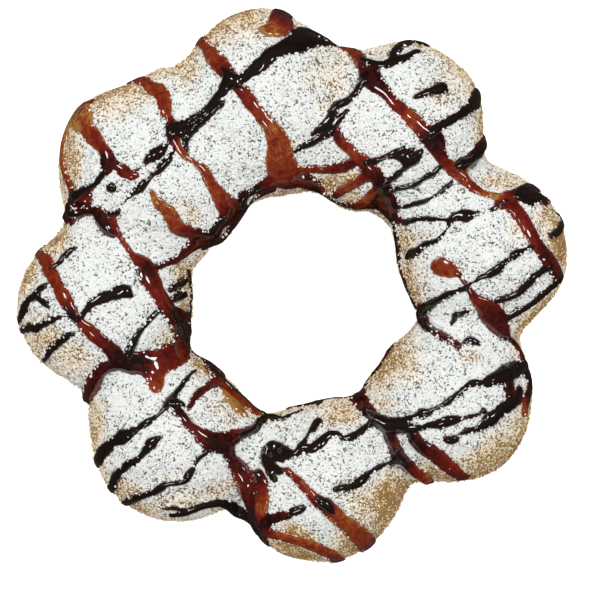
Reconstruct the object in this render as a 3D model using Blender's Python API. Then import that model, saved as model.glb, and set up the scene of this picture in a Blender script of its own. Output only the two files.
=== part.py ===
"""A mochi doughnut: eight balls of dough joined in a ring, with thick sauce drizzled across the top."""
import math

import bmesh
import bpy
import numpy as np

MM = 0.001

# The ring. Each ball: angle (degrees), distance of its middle from the ring's middle, half its
# width across the ring, half its length along the ring, half its height (mm).
BALLS = (
    (12.0, 32.5, 14.6, 14.4, 12.9),
    (57.5, 32.2, 15.8, 14.4, 12.7),
    (99.0, 32.8, 16.2, 14.8, 13.2),
    (141.0, 31.7, 16.9, 14.8, 13.4),
    (184.0, 32.7, 15.0, 14.2, 13.0),
    (230.5, 32.5, 13.9, 14.4, 12.7),
    (278.0, 32.6, 13.7, 13.8, 12.8),
    (325.0, 32.5, 14.1, 14.0, 13.0),
)
RING_MIDDLE = (0.94, -1.28)
BALL_MIDDLE_Z = 12.4
JOIN = 0.16
LUMP_DEPTH = 0.014
LUMP_LENGTHS = (3.7, 3.1, 2.9)

# The dough's mesh is a torus whose points are moved out to the balls' surface.
SECTION_RADIUS = 30.5
SECTION_REACH = 24.0
SEGMENTS_PER_BALL = 12
SEGMENTS_ROUND = 20
HALVINGS = 26

# Where the middle of the finished doughnut's box lies in the plan that the ring and the drizzle
# are measured in (mm).
BOX_MIDDLE = (0.335, -0.295)

# The drizzle (mm).
SAUCE_HEIGHT = 0.8
WIDEST = 3.4
THINNEST = 0.7
POINT_SPACING = 3.0
STEPS_PER_SPAN = 12
SIDES_RESOLUTION = 1
END_TAPER = 0.5
LOWEST_SIDE_ANGLE = 0.75
WELD = 0.00001

# Each strand is a list of (x, y, width) in mm, in plan. A strand that runs past the dough's edge
# hangs down its side by as much.
CHOCOLATE = (
    ((-20.4, 26.8, 1.4), (-16.4, 28.0, 1.3), (-14.4, 30.0, 1.1), (-12.2, 32.0, 1.3),
     (-10.2, 34.5, 2.6), (-7.2, 36.0, 1.2), (-4.0, 38.8, 1.8), (0.8, 41.3, 3.0),
     (4.0, 42.4, 2.4), (7.0, 41.6, 1.0)),
    ((-20.2, 25.6, 1.8), (-16.6, 26.6, 1.4), (-13.8, 28.8, 1.1), (-11.6, 30.6, 0.8)),
    ((-25.0, 21.5, 0.7), (-23.4, 22.3, 1.9), (-21.0, 23.6, 1.1), (-20.0, 25.0, 1.4)),
    ((-28.8, 13.2, 0.7), (-25.5, 16.3, 1.5), (-23.8, 18.1, 0.7), (-21.2, 20.6, 1.3),
     (-19.5, 23.0, 0.8)),
    ((-40.2, 13.6, 2.0), (-37.6, 12.4, 2.2), (-34.5, 12.8, 1.3)),
    ((-37.4, 15.0, 2.2), (-34.0, 16.3, 1.0), (-31.5, 18.9, 1.3)),
    ((-36.0, -5.9, 1.2), (-33.8, -3.4, 1.1), (-30.8, -2.0, 1.6), (-27.8, -1.0, 1.9)),
    ((-47.0, -6.4, 1.4), (-44.8, -3.0, 1.3), (-41.8, -0.2, 0.8)),
    ((-47.6, -8.0, 1.4), (-43.5, -7.4, 1.5), (-38.5, -5.5, 0.8)),
    ((-42.6, -13.4, 1.4), (-39.8, -10.3, 1.1), (-37.0, -8.0, 0.8)),
    ((-26.8, -10.8, 1.5), (-24.5, -6.8, 1.0), (-22.6, -4.8, 1.2)),
    ((-34.0, -30.6, 2.2), (-31.0, -27.4, 2.0), (-28.6, -25.8, 1.9), (-24.8, -23.5, 1.4),
     (-22.4, -21.8, 0.9), (-20.4, -20.0, 1.8), (-17.9, -16.4, 0.9), (-16.4, -15.0, 0.8)),
    ((-31.6, -36.2, 1.6), (-29.4, -32.2, 1.4), (-26.4, -30.0, 1.2), (-24.0, -27.4, 1.6),
     (-22.2, -26.0, 0.9)),
    ((-29.4, -38.4, 1.3), (-24.0, -35.6, 1.2), (-20.4, -33.7, 0.9), (-17.4, -32.6, 1.2),
     (-15.8, -29.8, 0.9), (-14.0, -28.3, 1.1)),
    ((-20.0, -39.4, 0.9), (-16.0, -38.0, 1.6), (-11.5, -37.2, 2.0), (-7.5, -39.0, 3.2)),
    ((-8.0, -25.3, 1.4), (-4.8, -23.4, 1.8), (-1.6, -22.7, 1.0)),
    ((-3.2, -32.4, 1.6), (-4.6, -29.8, 1.6), (-4.2, -27.4, 1.3), (-1.9, -27.8, 1.6),
     (0.6, -29.0, 1.3), (2.0, -27.4, 1.2), (4.4, -26.9, 1.1), (6.8, -25.2, 1.3),
     (9.2, -26.0, 1.2), (13.0, -24.4, 1.4)),
    ((2.0, -26.8, 0.8), (3.8, -24.4, 1.1), (4.6, -23.2, 1.5)),
    ((7.8, -34.8, 0.8), (11.0, -34.0, 1.3), (13.4, -32.0, 0.9), (18.0, -30.0, 1.2)),
    ((13.4, -22.0, 2.0), (17.0, -23.4, 1.6), (22.2, -22.0, 1.4), (25.4, -20.6, 0.7),
     (28.8, -18.3, 1.1), (31.4, -16.7, 1.3), (34.5, -16.4, 1.6), (38.0, -14.6, 3.0)),
    ((20.5, -24.2, 1.5), (23.6, -23.9, 1.2), (26.4, -23.2, 1.8), (29.6, -22.6, 0.8)),
    ((29.8, -24.7, 0.9), (33.0, -23.8, 1.2), (35.0, -21.4, 1.9), (38.8, -19.6, 1.4)),
    ((40.0, -13.0, 1.6), (41.6, -16.4, 1.5), (40.8, -19.6, 1.6)),
    ((19.0, 4.6, 1.8), (22.4, 6.6, 1.2), (25.6, 8.2, 0.7), (27.2, 11.0, 1.2), (29.4, 12.0, 2.0),
     (32.5, 12.4, 0.7), (36.0, 13.8, 1.1)),
    ((32.2, 1.2, 0.7), (34.8, 2.3, 1.4), (37.0, 4.2, 0.8), (39.0, 5.6, 1.1), (41.4, 6.4, 0.9)),
    ((35.0, -2.9, 1.0), (38.8, -1.4, 1.2), (41.2, 1.0, 1.3), (44.6, 3.4, 1.8)),
    ((36.8, -5.8, 1.4), (40.4, -3.8, 1.2), (43.6, -1.2, 1.4), (47.0, 2.4, 1.6)),
    ((23.2, -3.9, 1.9), (26.2, -2.0, 1.1), (29.8, -0.8, 1.0)),
    ((24.0, 26.2, 1.0), (27.2, 27.8, 1.5), (30.5, 29.8, 1.7), (33.0, 32.8, 2.6)),
    ((28.5, 20.6, 1.6), (31.5, 22.2, 1.6), (34.4, 25.6, 1.8)),
    ((21.0, 31.7, 0.8), (24.0, 32.8, 1.4), (26.0, 33.4, 1.8)),
    ((12.5, 37.8, 1.8), (16.2, 37.4, 1.6), (18.0, 39.8, 1.8), (21.8, 42.0, 1.6),
     (23.8, 42.2, 1.2)),
    ((12.2, 34.2, 1.5), (9.8, 31.2, 1.2), (7.2, 29.6, 1.4), (5.8, 26.8, 1.4)),
    ((8.4, 28.2, 0.9), (6.6, 25.6, 1.6), (3.6, 24.0, 1.6), (0.4, 22.6, 1.6)),
    ((13.0, 20.8, 1.6), (16.0, 21.4, 0.9), (19.4, 21.2, 2.0), (22.0, 22.2, 1.2)),
    ((17.0, 15.6, 1.0), (20.5, 16.6, 1.0), (25.4, 19.8, 1.1)),
    ((38.4, 15.0, 2.2), (41.0, 16.8, 1.6), (43.6, 18.0, 1.4)),
    ((39.0, 14.4, 1.6), (43.0, 14.6, 1.2), (46.4, 15.0, 0.9)),
)
BERRY = (
    ((-16.0, 42.6, 1.8), (-13.4, 39.0, 2.8), (-11.0, 36.0, 2.6), (-8.8, 33.4, 2.0),
     (-6.4, 30.4, 2.3), (-3.6, 26.8, 2.5), (-2.0, 23.0, 3.4), (-1.4, 19.6, 3.4)),
    ((-27.4, 36.0, 1.6), (-24.6, 33.6, 1.8), (-21.8, 31.2, 2.6), (-20.4, 27.6, 1.5),
     (-19.6, 24.6, 2.0), (-16.5, 20.9, 1.1), (-13.8, 18.0, 2.0), (-11.6, 15.2, 2.2)),
    ((-35.0, 28.6, 1.8), (-33.4, 24.9, 2.6), (-31.0, 21.4, 2.5), (-28.0, 19.2, 1.8)),
    ((-36.4, 31.8, 1.6), (-39.6, 26.0, 1.3), (-39.6, 19.6, 1.2), (-37.2, 16.0, 1.6)),
    ((-23.0, 14.8, 1.2), (-20.8, 12.4, 2.1), (-18.8, 9.4, 2.6), (-16.0, 8.2, 2.6)),
    ((-33.6, 12.8, 1.6), (-31.6, 10.6, 2.4), (-29.6, 8.6, 1.4), (-27.0, 5.4, 1.4),
     (-24.2, 2.2, 2.4), (-22.6, -1.8, 2.6), (-20.4, -5.4, 2.4), (-18.4, -9.4, 2.6)),
    ((-43.8, 6.4, 2.0), (-41.0, 2.6, 2.4), (-38.6, -1.8, 2.3), (-36.3, -5.8, 1.9),
     (-33.0, -8.8, 2.4), (-29.2, -12.4, 3.2), (-25.6, -13.2, 3.2), (-21.0, -12.0, 3.2),
     (-17.6, -10.6, 3.0)),
    ((-28.6, -13.4, 3.0), (-32.0, -14.8, 2.3), (-34.4, -18.4, 2.6)),
    ((-23.6, -14.4, 3.0), (-22.4, -17.0, 3.0)),
    ((-20.2, -20.6, 1.2), (-17.6, -23.2, 1.4), (-14.8, -25.8, 2.4), (-11.4, -26.8, 3.2),
     (-10.0, -29.4, 2.2), (-7.8, -33.0, 3.2), (-6.4, -37.2, 3.4), (-5.0, -41.4, 3.4)),
    ((-13.8, -13.8, 2.0), (-10.6, -17.0, 2.6), (-6.4, -21.2, 2.4)),
    ((-0.6, -31.6, 1.1), (2.8, -34.8, 1.4), (5.6, -37.4, 2.5), (9.8, -41.0, 2.4),
     (13.6, -44.8, 3.2)),
    ((-4.0, -41.4, 2.0), (1.0, -43.2, 1.8), (8.0, -47.2, 1.6)),
    ((11.8, -18.6, 3.2), (13.0, -21.6, 2.6)),
    ((18.6, -24.0, 1.9), (20.8, -26.2, 2.0), (24.2, -28.6, 2.6), (29.6, -33.4, 2.0)),
    ((17.2, -26.6, 1.5), (18.6, -29.2, 2.4), (23.4, -33.8, 1.8)),
    ((24.6, 2.8, 3.2), (26.8, 2.4, 2.4), (29.4, 0.4, 1.0), (31.6, -2.8, 2.0),
     (34.0, -5.6, 2.8), (37.0, -9.2, 1.1), (39.8, -12.6, 1.6)),
    ((37.6, 14.6, 2.0), (39.8, 11.6, 1.8), (42.0, 7.8, 1.8), (44.6, 3.4, 2.3),
     (47.0, 0.6, 2.0)),
    ((9.0, 42.0, 1.8), (11.6, 38.6, 2.4), (13.8, 34.9, 3.4), (16.8, 31.8, 1.8),
     (19.8, 28.8, 2.2), (24.2, 24.5, 3.0), (25.6, 21.6, 2.2), (29.0, 18.4, 2.4),
     (32.6, 15.3, 1.4), (37.0, 14.8, 1.5)),
    ((8.0, 26.4, 1.5), (9.2, 23.6, 2.2), (12.4, 20.8, 2.2), (14.8, 17.6, 2.8),
     (16.4, 13.6, 3.4)),
    ((-17.9, 5.9, 2.2), (-12.3, 11.3, 2.6), (-6.0, 14.9, 2.4), (0.8, 17.6, 2.4)),
    ((22.0, -4.6, 2.4), (23.4, -7.4, 1.9), (28.2, -10.2, 1.6)),
    ((-3.4, 43.8, 2.6), (-1.4, 45.4, 3.0), (-0.4, 47.6, 2.4)),
)

# Materials: base colour (linear), roughness.
DOUGH_LOOK = ((0.55, 0.36, 0.19, 1.0), 0.75)
CHOCOLATE_LOOK = ((0.012, 0.007, 0.006, 1.0), 0.18)
BERRY_LOOK = ((0.11, 0.016, 0.009, 1.0), 0.2)


def clear_scene():
    for thing in list(bpy.data.objects):
        bpy.data.objects.remove(thing, do_unlink=True)


def new_collection(name):
    group = bpy.data.collections.new(name)
    bpy.context.scene.collection.children.link(group)
    return group


def new_material(name, look):
    colour, roughness = look
    material = bpy.data.materials.new(name)
    material.use_nodes = True
    shader = material.node_tree.nodes["Principled BSDF"]
    shader.inputs["Base Color"].default_value = colour
    shader.inputs["Roughness"].default_value = roughness
    return material


def plan(x, y):
    """A place in plan (mm), measured from the middle of the doughnut's box."""
    return x - BOX_MIDDLE[0], y - BOX_MIDDLE[1]


def dough_field(points):
    """Below zero inside the dough: the eight balls joined smoothly, with shallow lumps. In mm."""
    middle_x, middle_y = plan(*RING_MIDDLE)
    x = points[..., 0] - middle_x
    y = points[..., 1] - middle_y
    z = points[..., 2] - BALL_MIDDLE_Z
    total = 0.0
    for angle, distance, half_width, half_length, half_height in BALLS:
        turn = math.radians(angle)
        out = (x * math.cos(turn) + y * math.sin(turn) - distance) / half_width
        along = (y * math.cos(turn) - x * math.sin(turn)) / half_length
        up = z / half_height
        reach = np.sqrt(out ** 2 + along ** 2 + up ** 2)
        total = total + np.exp((1.0 - reach) / JOIN)
    lump_x, lump_y, lump_z = LUMP_LENGTHS
    lumps = np.sin(x / lump_x + z / lump_z) * np.sin(y / lump_y - z / lump_x)
    return -JOIN * np.log(total) + LUMP_DEPTH * lumps


def section_point(theta, phi):
    """The dough's surface, along the ray at phi in the upright section at theta. In mm."""
    middle_x, middle_y = plan(*RING_MIDDLE)
    out = np.stack([np.cos(theta), np.sin(theta), np.zeros_like(theta)], axis=-1)
    up = np.array([0.0, 0.0, 1.0])
    start = np.array([middle_x, middle_y, BALL_MIDDLE_Z]) + SECTION_RADIUS * out
    ray = out * np.cos(phi)[..., None] + up * np.sin(phi)[..., None]
    near = np.zeros_like(theta)
    far = np.full_like(theta, SECTION_REACH)
    for _ in range(HALVINGS):
        half = 0.5 * (near + far)
        inside = dough_field(start + ray * half[..., None]) < 0.0
        near = np.where(inside, half, near)
        far = np.where(inside, far, half)
    surface = start + ray * near[..., None]
    surface[..., 2] = np.maximum(surface[..., 2], 0.0)
    return surface


def plan_radius(points):
    middle_x, middle_y = plan(*RING_MIDDLE)
    return np.hypot(points[..., 0] - middle_x, points[..., 1] - middle_y)


def drape(x, y):
    """The surface point above each place in plan. Past an edge it runs on down the side."""
    middle_x, middle_y = plan(*RING_MIDDLE)
    theta = np.arctan2(y - middle_y, x - middle_x)
    radius = np.hypot(x - middle_x, y - middle_y)
    outer = plan_radius(section_point(theta, np.zeros_like(theta)))
    inner = plan_radius(section_point(theta, np.full_like(theta, math.pi)))
    low = np.zeros_like(theta)
    high = np.full_like(theta, math.pi)
    for _ in range(HALVINGS):
        half = 0.5 * (low + high)
        too_far_out = plan_radius(section_point(theta, half)) > radius
        low = np.where(too_far_out, half, low)
        high = np.where(too_far_out, high, half)
    past_outer = np.maximum(radius - outer, 0.0) / (outer - SECTION_RADIUS)
    past_inner = np.maximum(inner - radius, 0.0) / (SECTION_RADIUS - inner)
    phi = low - np.minimum(past_outer, LOWEST_SIDE_ANGLE)
    phi = phi + np.minimum(past_inner, LOWEST_SIDE_ANGLE)
    return section_point(theta, phi)


def outward(points):
    """The dough's unit normals, from the slope of its field."""
    step = 0.05
    slopes = []
    for axis in range(3):
        shift = np.zeros(3)
        shift[axis] = step
        slopes.append(dough_field(points + shift) - dough_field(points - shift))
    slope = np.stack(slopes, axis=-1)
    return slope / np.linalg.norm(slope, axis=-1, keepdims=True)


def smooth_path(knots):
    """Evenly spaced points on a Catmull-Rom curve through the knots (x, y, width), thin at its ends."""
    knots = np.array(knots)
    ends = np.vstack([2 * knots[0] - knots[1], knots, 2 * knots[-1] - knots[-2]])
    t = np.linspace(0.0, 1.0, STEPS_PER_SPAN, endpoint=False)[:, None]
    spans = []
    for before, start, end, after in zip(ends, ends[1:], ends[2:], ends[3:]):
        spans.append(0.5 * (2 * start + (end - before) * t
                            + (2 * before - 5 * start + 4 * end - after) * t ** 2
                            + (3 * start - before - 3 * end + after) * t ** 3))
    curve = np.vstack([*spans, knots[-1:]])
    steps = np.hypot(np.diff(curve[:, 0]), np.diff(curve[:, 1]))
    length = np.concatenate([[0.0], np.cumsum(steps)])
    places = np.linspace(0.0, length[-1], max(3, round(length[-1] / POINT_SPACING) + 1))
    path = np.stack([np.interp(places, length, column) for column in curve.T], axis=-1)
    path[[0, -1], 2] *= END_TAPER
    return path


def tube_size(width):
    """The radius of a round tube that shows this width above the dough, and how far it sinks."""
    half = 0.5 * np.clip(width, THINNEST, WIDEST)
    radius = (half ** 2 + SAUCE_HEIGHT ** 2) / (2 * SAUCE_HEIGHT)
    return radius, radius - SAUCE_HEIGHT


def make_strand(name, knots, material, group):
    """One strand of sauce: a tube that follows the dough's surface, partly sunk in it."""
    path = smooth_path(knots)
    x, y = plan(path[:, 0], path[:, 1])
    surface = drape(x, y)
    radius, sink = tube_size(path[:, 2])
    middle = surface - outward(surface) * sink[:, None]

    line = bpy.data.curves.new(name, "CURVE")
    line.dimensions = "3D"
    line.bevel_depth = MM
    line.bevel_resolution = SIDES_RESOLUTION
    line.use_fill_caps = True
    spline = line.splines.new("POLY")
    spline.points.add(len(middle) - 1)
    for point, place, size in zip(spline.points, middle, radius):
        point.co = (*(place * MM), 1.0)
        point.radius = size
    line.materials.append(material)
    curve = bpy.data.objects.new(name + "_line", line)
    group.objects.link(curve)

    bpy.context.view_layer.update()
    solid = curve.evaluated_get(bpy.context.evaluated_depsgraph_get())
    mesh = bpy.data.meshes.new_from_object(solid)
    weld(mesh)
    tube = bpy.data.objects.new(name, mesh)
    tube.matrix_world = curve.matrix_world
    group.objects.link(tube)
    bpy.data.objects.remove(curve)
    return tube


def weld(mesh):
    shape = bmesh.new()
    shape.from_mesh(mesh)
    bmesh.ops.remove_doubles(shape, verts=shape.verts, dist=WELD)
    bmesh.ops.recalc_face_normals(shape, faces=shape.faces)
    shape.to_mesh(mesh)
    shape.free()


def make_dough(group, material):
    """The ring of balls: a torus whose points are moved out to the balls' surface."""
    bpy.ops.mesh.primitive_torus_add(
        major_segments=SEGMENTS_PER_BALL * len(BALLS), minor_segments=SEGMENTS_ROUND,
        major_radius=SECTION_RADIUS, minor_radius=SECTION_RADIUS / 2)
    dough = bpy.context.active_object
    dough.name = "doughnut"
    places = np.array([vertex.co for vertex in dough.data.vertices])
    theta = np.arctan2(places[:, 1], places[:, 0])
    phi = np.arctan2(places[:, 2], np.hypot(places[:, 0], places[:, 1]) - SECTION_RADIUS)
    surface = section_point(theta, phi) * MM
    dough.data.vertices.foreach_set("co", surface.ravel())
    for other in list(dough.users_collection):
        other.objects.unlink(dough)
    group.objects.link(dough)
    dough.data.materials.append(material)
    return dough


def fuse(dough, group):
    """Joins every strand in the group to the dough, then removes the group's objects."""
    join = dough.modifiers.new("Drizzle", "BOOLEAN")
    join.operation = "UNION"
    join.operand_type = "COLLECTION"
    join.collection = group
    join.solver = "EXACT"
    bpy.context.view_layer.objects.active = dough
    bpy.ops.object.modifier_apply(modifier=join.name)
    for strand in list(group.objects):
        bpy.data.objects.remove(strand, do_unlink=True)
    bpy.data.collections.remove(group)


def main():
    clear_scene()
    doughnut = new_collection("mochi_doughnut")
    drizzle = new_collection("drizzle")
    dough_material = new_material("dough", DOUGH_LOOK)
    chocolate_material = new_material("chocolate", CHOCOLATE_LOOK)
    berry_material = new_material("berry", BERRY_LOOK)

    dough = make_dough(doughnut, dough_material)
    for number, knots in enumerate(CHOCOLATE, 1):
        make_strand(f"chocolate_{number:02d}", knots, chocolate_material, drizzle)
    for number, knots in enumerate(BERRY, 1):
        make_strand(f"berry_{number:02d}", knots, berry_material, drizzle)
    fuse(dough, drizzle)


main()
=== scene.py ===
import math

import bpy
import numpy as np
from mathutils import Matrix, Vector


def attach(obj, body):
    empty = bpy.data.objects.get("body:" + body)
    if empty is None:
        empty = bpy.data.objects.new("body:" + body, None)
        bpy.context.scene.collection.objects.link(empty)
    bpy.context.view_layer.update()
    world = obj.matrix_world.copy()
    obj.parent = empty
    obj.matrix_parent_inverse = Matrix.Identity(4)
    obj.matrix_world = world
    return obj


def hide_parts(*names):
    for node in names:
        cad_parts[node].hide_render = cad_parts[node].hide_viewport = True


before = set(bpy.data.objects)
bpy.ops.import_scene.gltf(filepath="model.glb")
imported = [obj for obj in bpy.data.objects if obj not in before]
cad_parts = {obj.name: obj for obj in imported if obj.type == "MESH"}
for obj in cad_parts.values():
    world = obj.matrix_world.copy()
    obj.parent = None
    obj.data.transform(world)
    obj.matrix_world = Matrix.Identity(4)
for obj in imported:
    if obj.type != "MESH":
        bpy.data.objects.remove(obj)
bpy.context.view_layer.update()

MM = 0.001
BODY = "root"

# ---------------------------------------------------------------- the dough, as in the CAD (mm)
# Each ball: angle (degrees), distance of its middle from the ring's middle, half its width across
# the ring, half its length along the ring, half its height.
BALLS = (
    (12.0, 32.5, 14.6, 14.4, 12.9),
    (57.5, 32.2, 15.8, 14.4, 12.7),
    (99.0, 32.8, 16.2, 14.8, 13.2),
    (141.0, 31.7, 16.9, 14.8, 13.4),
    (184.0, 32.7, 15.0, 14.2, 13.0),
    (230.5, 32.5, 13.9, 14.4, 12.7),
    (278.0, 32.6, 13.7, 13.8, 12.8),
    (325.0, 32.5, 14.1, 14.0, 13.0),
)
RING_MIDDLE = (0.94, -1.28)
BOX_MIDDLE = (0.335, -0.295)
BALL_MIDDLE_Z = 12.4
JOIN = 0.16
LUMP_DEPTH = 0.014
LUMP_LENGTHS = (3.7, 3.1, 2.9)
SECTION_RADIUS = 30.5
SECTION_REACH = 24.0
HALVINGS = 15
LOWEST_SIDE_ANGLE = 0.75

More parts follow.
